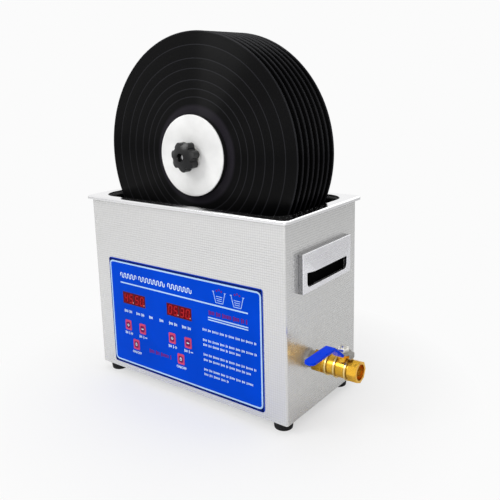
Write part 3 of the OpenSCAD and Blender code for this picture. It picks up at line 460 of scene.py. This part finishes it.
def moulded(name, colour, roughness, grain=600, depth=0.00006, **sockets):
    """Moulded plastic or rubber with a fine spark-eroded grain and slight wear."""
    sockets.setdefault("Specular_IOR_Level", 0.22 if max(colour) < 0.05 else 0.4)
    finish = Finish(name, colour, 0.0, roughness, **sockets)
    fine = finish.noise(grain, 4)
    cloud = finish.noise(25, 3)
    finish.paint(finish.span(cloud, 0.4, 0.75, 0, 0.6), tuple(c * 1.35 + 0.004 for c in colour))
    finish.rough(cloud, roughness * 0.85, min(1, roughness * 1.2))
    finish.bump(fine, depth, 0.5)
    return finish.material


def film(name, colour, roughness=0.32):
    """Printed polyester film with a faint orange peel."""
    finish = Finish(name, colour, 0.0, roughness, Specular_IOR_Level=0.02)
    peel = finish.noise(420, 2)
    cloud = finish.noise(18, 2)
    finish.paint(finish.span(cloud, 0.35, 0.7, 0, 1), tinted(colour, 0.86))
    finish.rough(cloud, roughness * 0.85, roughness * 1.2)
    finish.bump(peel, 0.00003, 0.3)
    return finish.material


def brass_finish(name, colour, roughness, rings=()):
    """Cast and turned brass: turning marks round the pipe's axis, and darker spots.
    Rings at these places along X get a painted highlight on their tops and painted shade beside
    them; towards the casing the body is painted darker as shade under the lever."""
    finish = Finish(name, colour, 1.0, roughness)
    turned_marks = finish.noise(700, 2, finish.stretched((1, 0.03, 0.03)))
    cast = finish.noise(160, 4)
    stain = finish.noise(45, 4)
    colour_now = finish.blend(finish.span(stain, 0.42, 0.70, 0, 0.8), colour, tinted(colour, 0.5))
    if rings:
        x = finish.apart()["X"]
        # Painted shade: darker towards the casing, under the lever
        casing_side_shade = finish.span(x, rings[0] - 14 * MM, rings[0] + 6 * MM, 1, 0)
        colour_now = finish.blend(casing_side_shade, colour_now, tinted(colour, 0.4))
        for ring in rings:
            off = finish.math("ABSOLUTE", finish.math("SUBTRACT", x, ring))
            # Painted shade beside each ring
            ring_side_shade = finish.span(off, 1.8 * MM, 2.6 * MM, 1, 0)
            colour_now = finish.blend(ring_side_shade, colour_now, tinted(colour, 0.3))
            # Painted highlight on each ring's top
            top = finish.span(off, 0.9 * MM, 1.2 * MM, 1, 0)
            colour_now = finish.blend(top, colour_now, (0.90, 0.68, 0.27))
    finish.drive("Base Color", colour_now)
    finish.rough(cast, roughness * 0.7, roughness * 1.5)
    finish.bump(finish.math("ADD", turned_marks, cast), 0.00006, 0.4)
    return finish.material


def vinyl(name, colour):
    """Pressed record: black, with the sheen that fine grooves give round the spindle."""
    finish = Finish(name, colour, 0.0, 0.33, Anisotropic=1.0, Anisotropic_Rotation=0.25,
                    Specular_IOR_Level=0.095)
    centre = middle("record_1")
    place = finish.apart()
    across = finish.math("MULTIPLY", place["X"], place["X"])
    height = finish.math("SUBTRACT", place["Z"], centre.z)
    radius = finish.math("SQRT", finish.math("ADD", across, finish.math("MULTIPLY", height, height)))
    ring = finish.node("ShaderNodeCombineXYZ")
    finish.link(radius, ring.inputs["X"])
    tone = finish.noise(900, 3, ring.outputs[0])
    cut_tone = finish.paint(finish.span(tone, 0.35, 0.68, 0, 1), tuple(c * 1.6 for c in colour))
    # Painted sheen: the plain gaps between the tracks and the bead at the edge are lighter
    sheen_lines = 0.0
    for band in RECORD_BANDS:
        off = finish.math("ABSOLUTE", finish.math("SUBTRACT", radius, band * MM))
        sheen_lines = finish.math("MAXIMUM", sheen_lines, finish.span(off, 0.25 * MM, 0.75 * MM, 1, 0))
    sheen_lines = finish.math("MAXIMUM", sheen_lines, finish.span(radius, 149.2 * MM, 149.9 * MM, 0, 0.8))
    sheen_banded = finish.blend(sheen_lines, cut_tone, (0.018, 0.018, 0.021))
    # Painted sheen on the run-out round the label
    run_out_sheen = finish.span(radius, 60 * MM, 64 * MM, 1, 0)
    finish.drive("Base Color", finish.blend(run_out_sheen, sheen_banded, (0.016, 0.014, 0.019)))
    finish.rough(tone, 0.28, 0.38)
    grooves = finish.noise(2600, 2, ring.outputs[0])
    finish.bump(grooves, 0.00002, 0.15)
    tangent = finish.node("ShaderNodeTangent", direction_type="RADIAL", axis="Y")
    finish.drive("Tangent", tangent.outputs[0])
    return finish.material


def sleeved_steel(name, colour, steel):
    """Glossy vinyl sleeve, with the strip bare round the valve's stem."""
    finish = Finish(name, colour, 0.0, 0.3, Specular_IOR_Level=0.03)
    hub_front = middle("lever_nut").y - 9 * MM
    bare = finish.span(finish.apart()["Y"], hub_front - 0.1 * MM, hub_front + 0.1 * MM, 0, 1)
    cloud = finish.noise(25, 3)
    sleeve = finish.blend(finish.span(cloud, 0.4, 0.75, 0, 0.5), colour, tinted(colour, 0.75))
    finish.drive("Base Color", finish.blend(bare, sleeve, steel))
    finish.drive("Metallic", bare)
    finish.rough(cloud, 0.24, 0.36)
    finish.bump(finish.noise(120, 4), 0.00002, 0.5)
    return finish.material


def glowing(name, colour, strength):
    """Lit segment of a display, a little uneven from end to end."""
    finish = Finish(name, tinted(colour, 0.4), 0.0, 0.4, Specular_IOR_Level=0.05)
    uneven = finish.noise(300, 2)
    finish.drive("Emission Color", finish.blend(finish.span(uneven, 0.3, 0.7, 0, 1), colour,
                                                tinted(colour, 0.8)))
    finish.shader.inputs["Emission Strength"].default_value = strength
    return finish.material


def tinted_window(name, colour):
    """Dark red display window, glossy, with fine dust."""
    finish = Finish(name, colour, 0.0, 0.12, Specular_IOR_Level=0.05)
    dust = finish.noise(900, 3)
    finish.paint(finish.span(dust, 0.55, 0.75, 0, 0.25), tuple(c * 1.6 + 0.004 for c in colour))
    finish.rough(dust, 0.08, 0.2)
    return finish.material


def circuit(name, colour):
    """Solder mask over copper tracks."""
    finish = Finish(name, colour, 0.0, 0.35)
    cells = finish.node("ShaderNodeTexVoronoi", distance="MANHATTAN", feature="DISTANCE_TO_EDGE")
    cells.inputs["Scale"].default_value = 110
    finish.link(finish.coords, cells.inputs["Vector"])
    tracks = finish.span(cells.outputs["Distance"], 0.02, 0.06, 0.6, 0)
    finish.paint(tracks, tuple(c * 1.7 for c in colour))
    finish.bump(tracks, 0.00004, 0.4)
    return finish.material


embossed_sheet = linen_steel("embossed_sheet", (0.77, 0.77, 0.76), 0.14)
handle_pressing = pressed_handle("handle_pressing", (0.96, 0.96, 0.99), 0.28)
drawn_steel = tank_steel_finish("drawn_steel", (0.87, 0.87, 0.88), 0.15)
plain_sheet = grained_steel("plain_sheet", (0.66, 0.66, 0.67), 0.34, (0.04, 1, 1))
bright_steel = grained_steel("bright_steel", (0.62, 0.61, 0.58), 0.32, (1, 0.05, 1))
nut_steel = grained_steel("nut_steel", (0.90, 0.88, 0.82), 0.3, (1, 1, 0.05))
pipe_steel = grained_steel("pipe_steel", (0.27, 0.25, 0.23), 0.35, (0.05, 1, 1))
polished_steel = grained_steel("polished_steel", (0.82, 0.82, 0.83), 0.1, (1, 0.1, 1))
panel_film = film("panel_film", (0.0, 0.066, 0.68))
navy_ink = film("navy_ink", (0.004, 0.016, 0.17))
pale_ink = film("pale_ink", (0.50, 0.72, 1.0), 0.4)
white_ink = film("white_ink", (0.72, 0.88, 1.0), 0.4)
red_ink = film("red_ink", (0.20, 0.012, 0.13), 0.4)
key_crimson = film("key_crimson", (0.72, 0.08, 0.19))
key_centre = film("key_centre", (0.22, 0.02, 0.12))
window_red = tinted_window("window_red", (0.15, 0.0015, 0.006))
segment_lit = glowing("segment_lit", (0.42, 0.010, 0.015), 0.7)
# Pale glow of the decimal points: painted highlight for the glints on the windows
glint_glow = glowing("glint_glow", (0.85, 0.42, 0.36), 0.9)
segment_dark = tinted_window("segment_dark", (0.22, 0.004, 0.008))
window_frame = moulded("window_frame", (0.02, 0.006, 0.03), 0.4)
foot_rubber = moulded("foot_rubber", (0.006, 0.006, 0.0065), 0.55, 300, 0.0001)
housing_plastic = moulded("housing_plastic", (0.010, 0.010, 0.011), 0.48)
# Black plastic cup behind the handles' openings, made nearly lightless and without shine as painted
# shade
cup_shade_black = moulded("cup_shade_black", (0.002, 0.002, 0.002), 0.9, Specular_IOR_Level=0.03)
knob_plastic = moulded("knob_plastic", (0.002, 0.002, 0.0025), 0.3, 500, 0.00003,
                       Specular_IOR_Level=0.34)
spacer_plastic = moulded("spacer_plastic", (0.006, 0.006, 0.007), 0.5)
rocker_plastic = moulded("rocker_plastic", (0.48, 0.012, 0.012), 0.25, 300, 0.00002)
seat_plastic = moulded("seat_plastic", (0.80, 0.80, 0.78), 0.5)
disc_acrylic = moulded("disc_acrylic", (0.86, 0.86, 0.85), 0.3, 200, 0.00001)
BRASS = (0.90, 0.50, 0.05)
valve_brass = brass_finish("valve_brass", BRASS, 0.24)
body_brass = brass_finish("body_brass", BRASS, 0.24,
                          [middle("valve_ball").x + step * MM for step in (-17.5, -6.5, 7.5)])
bush_bronze = brass_finish("bush_bronze", (0.42, 0.25, 0.11), 0.4)
lever_sleeve = sleeved_steel("lever_sleeve", (0.0, 0.05, 0.82), (0.30, 0.29, 0.27))
horn_alloy = grained_steel("horn_alloy", (0.58, 0.59, 0.61), 0.36, (1, 1, 0.05))
transducer_ring = moulded("transducer_ring", (0.36, 0.33, 0.28), 0.6)
heater_rubber = moulded("heater_rubber", (0.50, 0.16, 0.05), 0.6)
board_mask = circuit("board_mask", (0.02, 0.13, 0.06))
record_vinyl = vinyl("record_vinyl", (0.0010, 0.0010, 0.0012))


# Hidden works keep their CAD shapes

def dress_hidden_works():
    plain = {
        plain_sheet: ("base_plate", "transducer_backs"),
        bright_steel: ("foot_screws", "transducer_bolts"),
        board_mask: ("control_board", "generator_board"),
        horn_alloy: ("transducer_horns", "board_parts"),
        transducer_ring: ("transducer_ceramics",),
        heater_rubber: ("heater_pads",),
        valve_brass: ("drain_locknut",),
        seat_plastic: ("valve_seats",),
        polished_steel: ("valve_ball",),
        bush_bronze: ("bearing_bushes",),
    }
    for material, members in plain.items():
        for node in members:
            nodes[node].data.materials.clear()
            nodes[node].data.materials.append(material)


# Casing, tank and handles

def raise_hood(handle):
    """Draws the hood over the hand opening twice as far out, as the pressing has it."""
    hood_x = high("casing").x + HANDLE_PROUD + 0.05 * MM
    for vert in handle.data.vertices:
        proud = abs(vert.co.x) - hood_x
        if proud > 0:
            vert.co.x = math.copysign(hood_x + proud * 2, vert.co.x)


def dress_casing():
    fair_copy("casing", embossed_sheet, "casing_steel", 0.2 * MM)
    fair_copy("tank", drawn_steel, "tank_steel", 0.15 * MM)
    fair_copy("handle_cups", cup_shade_black, "housing_black", 0.2 * MM)
    fair_copy("drain_elbow", pipe_steel, "tank_steel", 0)
    fair_copy("feet", foot_rubber, "foot_rubber", 1.0 * MM, 3)
    for node in ("handle_right", "handle_left"):
        raise_hood(fair_copy(node, handle_pressing, "handle_steel", 0.9 * MM, 4))


# Control panel

# Thickness of a print, and the layers of print on the panel: ground, field and marks
PRINT_T = 0.05 * MM
GROUND, FIELD, MARKS = 0, 0.6, 1.2

# The sign on each key: plus, minus, or o for the on and off sign
KEYS = {
    "key_temp_up": "+", "key_temp_down": "-", "key_heat": "o",
    "key_time_up": "+", "key_time_down": "-", "key_clean": "o",
}

# Segments that each shown digit lights: a to f clockwise from the top, g across the middle
SEGMENTS = {"0": "abcdef", "3": "abcdg", "4": "bcfg", "5": "acdfg"}


def on_panel(piece, x, z, layer=MARKS):
    """Moves a print, drawn at the origin, onto the panel's face."""
    return moved(piece, x, low("control_panel").y - layer * PRINT_T / 2, z)


def own_print(piece, name, ink):
    own(piece, name, "machine", ink, "panel_blue")


def dress_panel():
    """The film and its three large prints: a dark edge, the field, and the field's border."""
    fair_copy("control_panel", panel_film, "panel_blue", 0.25 * MM)
    start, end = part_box("control_panel")
    centre_x, centre_z = middle("control_panel").x, middle("control_panel").z
    width, height = end.x - start.x, end.z - start.z
    inner_w, inner_h, corner = width - 2.8 * MM, height - 6.4 * MM, 6 * MM
    edge = face_plate(width - 0.6 * MM, height - 0.6 * MM, PRINT_T, 2.7 * MM, 6 * MM)
    own_print(on_panel(edge, centre_x, centre_z, GROUND), "print_edge", navy_ink)
    field = face_plate(inner_w, inner_h, PRINT_T, corner)
    own_print(on_panel(field, centre_x, centre_z, FIELD), "print_field", panel_film)
    border = face_plate(inner_w, inner_h, PRINT_T, corner, 2.1 * MM)
    own_print(on_panel(border, centre_x, centre_z), "print_border", pale_ink)


def bar(x_from, x_to, z, height):
    piece = face_plate(x_to - x_from, height, PRINT_T)
    return on_panel(piece, (x_from + x_to) / 2, z)


def tick_row(x_from, x_to, z, height, pitch=1.7 * MM, share=0.56, groups=(4, 3, 6, 4, 2, 5)):
    """Row of upright ticks in groups with gaps between, the first of each group taller."""
    tick = face_plate(pitch * share, height, PRINT_T)
    count = max(1, round((x_to - x_from) / pitch))
    step = (x_to - x_from) / count
    tall = Matrix.Diagonal((1, 1, 1.35, 1))
    marks, place, group = [], 0, 0
    while place < count:
        for k in range(min(groups[group % len(groups)], count - place)):
            marks.append(on_panel(copied(tick, turn=None if k else tall),
                                  x_from + (place + 0.5) * step, z))
            place += 1
        place += 1
        group += 1
    remove(tick)
    return join(marks)


def print_rules():
    rules = [
        bar(-110 * MM, 106 * MM, 139.4 * MM, 1.9 * MM),
        bar(45 * MM, 106 * MM, 121.9 * MM, 1.5 * MM),
        bar(45 * MM, 106 * MM, 118.9 * MM, 1.5 * MM),
    ]
    own_print(join(rules), "print_rules", pale_ink)


def meander(x_from, x_to, step, swing, line):
    """Line that runs up and down in even round-ended loops: a bar is cut into short lengths
    that are laid along the path."""
    piece = face_plate(x_to - x_from, 1 * MM, PRINT_T)
    # Its four long edges are cut in 60, and each length of them in 4
    for cuts in (59, 3):
        edit(piece)
        pick(piece, lambda p: abs(p.z) > 0.4 * MM and abs(p.y + PRINT_T / 2) > PRINT_T / 4, "EDGE")
        bpy.ops.mesh.subdivide(number_cuts=cuts)
        leave_edit()
    loops = round((x_to - x_from) / step)
    radius = (x_to - x_from) / loops / 2
    run = 2 * (swing - radius)
    stride = run + math.pi * radius
    for vert in piece.data.vertices:
        way = (vert.co.x / (x_to - x_from) + 0.5) * (loops * stride + run)
        loop = min(int(way / stride), loops)
        rest = way - loop * stride
        rise = 1 if loop % 2 == 0 else -1
        x = -(x_to - x_from) / 2 + 2 * radius * loop
        if rest < run:
            z, ahead = rise * (rest - run / 2), (0, rise)
        else:
            bend = (rest - run) / radius
            x += radius * (1 - math.cos(bend))
            z = rise * (run / 2 + radius * math.sin(bend))
            ahead = (math.sin(bend), rise * math.cos(bend))
        half = math.copysign(line / 2, vert.co.z)
        vert.co.x = x - half * ahead[1]
        vert.co.z = z + half * ahead[0]
    return piece


def print_wave():
    """Plain wave line in three lengths, along the top of the panel."""
    waves = [on_panel(meander(start * MM, end * MM, 3.3 * MM, 3.1 * MM, 1.25 * MM),
                      (start + end) / 2 * MM, 150 * MM)
             for start, end in ((-109, -79), (-74, -27), (-21, 19))]
    own_print(join(waves), "print_wave", white_ink)


# Places along the panel, in millimetres, of the two cups
CUPS = (63.6, 90.8)


def print_scales():
    """Rows of ticks under the displays and on the right of the panel, and the red print."""
    rows = []
    for x_to, z in ((117.2, 104.1), (117.4, 90.4), (93.4, 84), (116.4, 70.9), (108.3, 63.9),
                    (113, 50.9), (76.1, 44.4)):
        rows.append(tick_row(35.2 * MM, x_to * MM, z * MM, 2.5 * MM))
    for x_from, x_to in ((-105.7, -88.8), (-82.7, -65.5), (-58.3, -51.6), (-39, -32.1),
                         (-22, -7.5), (0.6, 15.9)):
        rows.append(tick_row(x_from * MM, x_to * MM, 99.5 * MM, 3.2 * MM, 1.9 * MM, 0.62))
    own_print(join(rows), "print_scales", white_ink)
    red = [
        tick_row(46 * MM, 105 * MM, 128.2 * MM, 4.4 * MM, 2.4 * MM, 0.66),
        tick_row(-61.3 * MM, -21 * MM, 51.4 * MM, 4.2 * MM, 2.4 * MM, 0.66),
    ]
    for x in CUPS:
        for k in (-1, 0, 1):
            red.append(bar((x + 3.6 * k - 1) * MM, (x + 3.6 * k + 1) * MM,
                           (158.4 if k else 160) * MM, 2.2 * MM))
    own_print(join(red), "print_red", red_ink)


def cup_outline(x, z):
    """Open tub in outline with level lines in it."""
    half_top, half_low, height, line = 9.0 * MM, 5.3 * MM, 14 * MM, 0.8 * MM
    wall = face_plate(line, height, PRINT_T)
    lean = math.atan2(half_top - half_low, height)
    parts = []
    for side in (-1, 1):
        turn = Matrix.Rotation(side * lean, 4, "Y")
        parts.append(on_panel(copied(wall, turn=turn), x + side * (half_top + half_low) / 2, z))
    remove(wall)
    parts.append(bar(x - half_low, x + half_low, z - height / 2 + line / 2, line))
    for k in range(3):
        reach = half_low * (0.72 + 0.1 * k)
        parts.append(bar(x - reach, x + reach, z - height / 2 + (3.2 + 2.6 * k) * MM, 0.7 * MM))
    for side in (-1, 1):
        parts.append(bar(x + side * half_top - 1.4 * MM, x + side * half_top + 1.4 * MM,
                         z + height / 2, line))
    return join(parts)


def print_cups():
    own_print(join([cup_outline(x * MM, 150 * MM) for x in CUPS]), "print_cups", pale_ink)


def dress_keys():
    slot = "key_face"
    for node, sign in KEYS.items():
        fair_copy(node, key_crimson, slot, 0.3 * MM)
        start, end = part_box(node)
        x, z = middle(node).x, middle(node).z
        front = start.y
        width, height = end.x - start.x - 6.0 * MM, end.z - start.z - 7.4 * MM
        centre = face_plate(width, height, 2 * PRINT_T, 2.4 * MM)
        own(moved(centre, x, front, z), node + "_centre", body_of(node), key_centre, slot)
        if sign == "o":
            stroke = moved(face_plate(0.9 * MM, 2.6 * MM, PRINT_T), 0, 0, 1.6 * MM)
            mark = join([face_plate(3.4 * MM, 3.8 * MM, PRINT_T, 1.3 * MM, 0.8 * MM), stroke])
        else:
            strokes = [face_plate(4.0 * MM, 1.5 * MM, PRINT_T)]
            if sign == "+":
                strokes.append(face_plate(1.5 * MM, 4.0 * MM, PRINT_T))
            mark = join(strokes)
        moved(mark, x, front - 2 * PRINT_T, z)
        own(mark, node + "_mark", body_of(node), white_ink, slot)


def print_captions():
    """Generic captions: ticks and a sign under the upper keys, ON/OFF under the lower ones."""
    marks = []
    for node, sign in KEYS.items():
        x, z = middle(node).x, middle(node).z - 11.7 * MM
        if sign == "o":
            marks.append(on_panel(lettering("ON/OFF", 4.7 * MM, PRINT_T), x, z))
        else:
            marks.append(tick_row(x - 7.4 * MM, x + 2 * MM, z, 3.1 * MM, 1.9 * MM, 0.62, (3, 9)))
            marks.append(bar(x + 3.4 * MM, x + 7.4 * MM, z, 1.3 * MM))
            if sign == "+":
                marks.append(bar(x + 4.75 * MM, x + 6.05 * MM, z, 4.0 * MM))
    own_print(join(marks), "print_captions", white_ink)


def led_segment(length, thick):
    """Pointed bar of a seven-segment digit, lying along X."""
    clear()
    bpy.ops.mesh.primitive_circle_add(vertices=6, radius=thick / math.sqrt(3), fill_type="NGON",
                                      rotation=(math.pi / 2, math.pi / 2, 0))
    piece = bpy.context.object
    settle(piece)
    edit(piece)
    for side in (-1, 1):
        pick(piece, lambda p: p.x * side > 0.05 * thick)
        bpy.ops.transform.translate(value=(side * (length - thick) / 2, 0, 0))
    leave_edit()
    modify(piece, "SOLIDIFY", thickness=PRINT_T, offset=1)
    return piece


def digit(number, segment, width, height, lit):
    """The lit or the dark segments of one digit, slanted as such displays are."""
    upright = Matrix.Rotation(math.pi / 2, 4, "Y")
    w, h = width / 2, height / 2
    places = {
        "a": (0, h, None), "g": (0, 0, None), "d": (0, -h, None),
        "b": (w, h / 2, upright), "c": (w, -h / 2, upright),
        "f": (-w, h / 2, upright), "e": (-w, -h / 2, upright),
    }
    slant = Matrix.Identity(4)
    slant[0][2] = math.tan(math.radians(8))
    parts = []
    for letter, (x, z, turn) in places.items():
        if (letter in SEGMENTS[number]) == lit:
            part = copied(segment, x, 0, z, turn)
            part.data.transform(slant)
            parts.append(part)
    return parts


def dress_displays():
    fair_copy("displays", window_red, "display_red", 0.25 * MM)
    start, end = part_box("displays")
    window_w, window_h = 43 * MM, end.z - start.z
    front = start.y
    z = middle("displays").z
    width, height, thick = 5.3 * MM, 11.2 * MM, 1.75 * MM
    pitch, half_gap = 9.4 * MM, 0.9 * MM
    segment = led_segment(width - 0.35 * MM, thick)
    lit, dark, frames, points = [], [], [], []
    for x, numbers in ((start.x + window_w / 2, "4550"), (end.x - window_w / 2, "0530")):
        for k, number in enumerate(numbers):
            place = x + (k - 1.5) * pitch + (half_gap if k > 1 else -half_gap)
            for group, on in ((lit, True), (dark, False)):
                for part in digit(number, segment, width, height, on):
                    group.append(moved(part, place, front, z))
            # Painted highlight: a pale glowing dot after every second digit, shaped as a decimal
            # point, stands for the glints on the windows
            if k % 2:
                glint_dot = face_plate(1.3 * MM, 1.3 * MM, PRINT_T, 0.4 * MM)
                points.append(moved(glint_dot, place + 3.9 * MM, front, z - 5 * MM))
        split = face_plate(1.0 * MM, window_h - 0.6 * MM, PRINT_T)
        rim = face_plate(window_w - 0.5 * MM, window_h - 0.5 * MM, PRINT_T, 0.4 * MM, 0.7 * MM)
        frames += [moved(split, x, front, z), moved(rim, x, front, z)]
    remove(segment)
    for parts, name, material in ((lit, "digits_lit", segment_lit),
                                  (points, "display_glints", glint_glow),
                                  (dark, "digits_dark", segment_dark),
                                  (frames, "display_frames", window_frame)):
        own(join(parts), name, "machine", material, "display_red")


# Drain valve

def dress_valve():
    fair_copy("valve_body", body_brass, "valve_brass", 0.45 * MM, 3)
    fair_copy("gland_nut", valve_brass, "valve_brass", 0.4 * MM)
    fair_copy("valve_stem", bright_steel, "bright_steel", 0.3 * MM)
    fair_copy("valve_lever", lever_sleeve, "lever_blue", 0.7 * MM, 3)
    fair_copy("lever_nut", nut_steel, "bright_steel", 0.5 * MM, 3)


# Records and what clamps them

def record_profile(start, end):
    """Closed section on one side of a record's axis, with its label, its run-out, cut bands
    with gaps between them, and a bead at the edge."""
    edge = high("record_1").x
    half = (end - start) / 2
    centre = (start + end) / 2
    hole, label, cut_from = 3.62 * MM, 50 * MM, 63.4 * MM
    land, cut_level, gap_level = half * 0.75, half * 0.74, half * 0.71
    bead = half * 0.95
    face = [(hole, half), (label - 0.4 * MM, half), (label + 1.4 * MM, land),
            (cut_from - 0.4 * MM, land), (cut_from, cut_level)]
    for radius in sorted(RECORD_BANDS):
        r = radius * MM
        face += [(r - 0.8 * MM, cut_level), (r - 0.4 * MM, gap_level), (r + 0.4 * MM, gap_level),
                 (r + 0.8 * MM, cut_level)]
    face += [(edge - 5.4 * MM, cut_level), (edge - 4.6 * MM, land), (edge - 2.2 * MM, bead),
             (edge - 0.9 * MM, bead * 0.92), (edge - 0.25 * MM, bead * 0.55), (edge, 0)]
    front = [(r, centre - h) for r, h in face]
    back = [(r, centre + h) for r, h in reversed(face[:-1])]
    return front + back


def dress_records():
    for k in range(1, 9):
        node = "record_%d" % k
        start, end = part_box(node)
        piece = turned(record_profile(start.y, end.y), steps=200, axis_z=middle(node).z)
        own(piece, node + "_pressed", body_of(node), record_vinyl, "record_vinyl", node)
    fair_copy("label_spacers", spacer_plastic, "spacer_black", 0)
    fair_copy("rear_disc", disc_acrylic, "disc_white", 0.5 * MM, 3)


def dress_clamp():
    """The label disc is turned in two pieces: its white face, and the black seal behind."""
    start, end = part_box("label_disc")
    axis_z = middle("label_disc").z
    hole, edge_r, seal_w = 3.55 * MM, 0.7 * MM, 8.8 * MM
    reach = end.x - 0.3 * MM
    face_back, seal_front = start.y + 1.3 * MM, end.y - 1.5 * MM
    disc = turned([(hole, start.y), (reach - 3 * MM, start.y), (reach - edge_r, start.y),
                   (reach - 0.3 * edge_r, start.y + 0.3 * edge_r), (reach, start.y + edge_r),
                   (reach, face_back), (hole, face_back)], steps=160, axis_z=axis_z)
    own(disc, "label_disc_turned", "record_stack", disc_acrylic, "disc_white", "label_disc")
    seal = turned([(hole, face_back), (end.x - 0.4 * MM, face_back), (end.x, face_back + 0.4 * MM),
                   (end.x, end.y - 0.1 * MM), (end.x - seal_w, end.y - 0.1 * MM),
                   (end.x - seal_w, seal_front), (hole, seal_front)],
                  steps=160, axis_z=axis_z)
    own(seal, "label_seal", "record_stack", foot_rubber, "foot_rubber")
    fair_copy("clamp_washer", bright_steel, "bright_steel", 0.3 * MM)
    fair_copy("star_knob", knob_plastic, "knob_black", 1.3 * MM, 4)
    fair_copy("spindle", polished_steel, "polished_steel", 0.3 * MM)


# Rack, motor and mains inlet, behind the records

def dress_rack():
    for node in ("rack_bracket", "carriage_plate", "gear_motor"):
        fair_copy(node, plain_sheet, "plain_steel", 0.3 * MM)
    for node in ("clamp_screw", "lift_knob"):
        fair_copy(node, knob_plastic, "knob_black", 0.8 * MM, 3)
    for node in ("bearing_housing", "motor_housing", "motor_cover", "dc_jack"):
        fair_copy(node, housing_plastic, "housing_black", 0.4 * MM, 3)
    for node in ("motor_rocker", "power_rocker"):
        fair_copy(node, rocker_plastic, "rocker_red", 0.5 * MM, 3)
    fair_copy("power_inlet", housing_plastic, "housing_black", 0.3 * MM)


# Stage, light and camera

# Level of the white that the camera sees behind the machine
BACKDROP = 0.965


def lay_floor():
    """Matt floor with soft shadows near the machine, and plain white further away."""
    clear()
    bpy.ops.mesh.primitive_plane_add(size=14)
    floor = bpy.context.object
    floor.name = "floor"
    finish = Finish("floor_paint", (0.93, 0.93, 0.935), 0.0, 0.8)
    cloud = finish.noise(1.5, 2)
    finish.paint(cloud, (0.91, 0.91, 0.915))
    lit = finish.node("ShaderNodeEmission")
    lit.inputs["Color"].default_value = (BACKDROP, BACKDROP, BACKDROP, 1)
    mixed = finish.node("ShaderNodeMixShader")
    path = finish.node("ShaderNodeLightPath")
    away = finish.node("ShaderNodeVectorMath", operation="LENGTH")
    finish.link(finish.coords, away.inputs[0])
    white = finish.span(away.outputs["Value"], 0.14, 0.34, 0.55, 1)
    finish.link(finish.math("MULTIPLY", path.outputs["Is Camera Ray"], white), mixed.inputs[0])
    finish.link(finish.shader.outputs[0], mixed.inputs[1])
    finish.link(lit.outputs[0], mixed.inputs[2])
    finish.link(mixed.outputs[0], finish.tree.nodes["Material Output"].inputs["Surface"])
    floor.data.materials.append(finish.material)


# Name, place, size and power of each lamp
LAMPS = (
    ("key", (-0.9, -1.65, 1.8), 1.0, 22),
    ("fill", (0.9, -1.7, 0.7), 1.2, 9),
    ("back", (0.2, 1.6, 1.6), 1.4, 5),
    ("top", (0, 0.1, 2.0), 1.5, 14),
)


def light_studio():
    """Dim white surround that looks brighter to the camera and in reflections, and four lamps."""
    world = bpy.data.worlds.new("studio")
    bpy.context.scene.world = world
    world.use_nodes = True
    tree = world.node_tree
    tree.nodes.clear()
    path = tree.nodes.new("ShaderNodeLightPath")
    mixed = tree.nodes.new("ShaderNodeMixShader")
    lighting, seen = 0.28, BACKDROP
    for socket, strength in ((mixed.inputs[1], lighting), (mixed.inputs[2], seen)):
        white = tree.nodes.new("ShaderNodeBackground")
        white.inputs["Color"].default_value = (1, 1, 1, 1)
        white.inputs["Strength"].default_value = strength
        tree.links.new(white.outputs[0], socket)
    output = tree.nodes.new("ShaderNodeOutputWorld")
    shown = path.outputs["Is Camera Ray"]
    for ray in ("Is Glossy Ray", "Is Transmission Ray"):
        either = tree.nodes.new("ShaderNodeMath")
        either.operation = "MAXIMUM"
        tree.links.new(shown, either.inputs[0])
        tree.links.new(path.outputs[ray], either.inputs[1])
        shown = either.outputs[0]
    tree.links.new(shown, mixed.inputs[0])
    tree.links.new(mixed.outputs[0], output.inputs[0])
    target = Vector((0, 0, 0.2))
    for name, place, size, energy in LAMPS:
        lamp = bpy.data.lights.new(name, "AREA")
        lamp.size = size
        lamp.energy = energy
        holder = bpy.data.objects.new(name, lamp)
        holder.location = place
        holder.rotation_euler = (target - Vector(place)).to_track_quat("-Z", "Y").to_euler()
        bpy.context.scene.collection.objects.link(holder)


def place_camera():
    """Camera at the photograph's place, found from the casing's corners and the records."""
    azimuth, elevation, roll = 0.680, 0.202, -0.033
    place = Vector((522.9, -638.4, 405.5)) * MM
    # In pixels: the picture's side, the focal length and the optical centre
    image, focal = 500, 633.2
    centre_x, centre_y = 222.8, 209.5
    ahead = Vector((-math.sin(azimuth) * math.cos(elevation),
                    math.cos(azimuth) * math.cos(elevation), -math.sin(elevation)))
    right = Vector((math.cos(azimuth), math.sin(azimuth), 0))
    up = right.cross(ahead)
    right_now = right * math.cos(roll) + up * math.sin(roll)
    up_now = up * math.cos(roll) - right * math.sin(roll)
    data = bpy.data.cameras.new("camera")
    data.lens = focal / image * data.sensor_width
    data.shift_x = (image / 2 - centre_x) / image
    data.shift_y = (centre_y - image / 2) / image
    data.clip_start = 0.01
    camera = bpy.data.objects.new("camera", data)
    turn = Matrix((right_now, up_now, -ahead)).transposed().to_4x4()
    camera.matrix_world = Matrix.Translation(place) @ turn
    bpy.context.scene.collection.objects.link(camera)
    bpy.context.scene.camera = camera


place_camera()
dress_hidden_works()
dress_casing()
dress_panel()
print_rules()
print_wave()
print_scales()
print_cups()
print_captions()
dress_keys()
dress_displays()
dress_valve()
dress_records()
dress_clamp()
dress_rack()
lay_floor()
light_studio()
bpy.context.scene.view_settings.view_transform = "Standard"
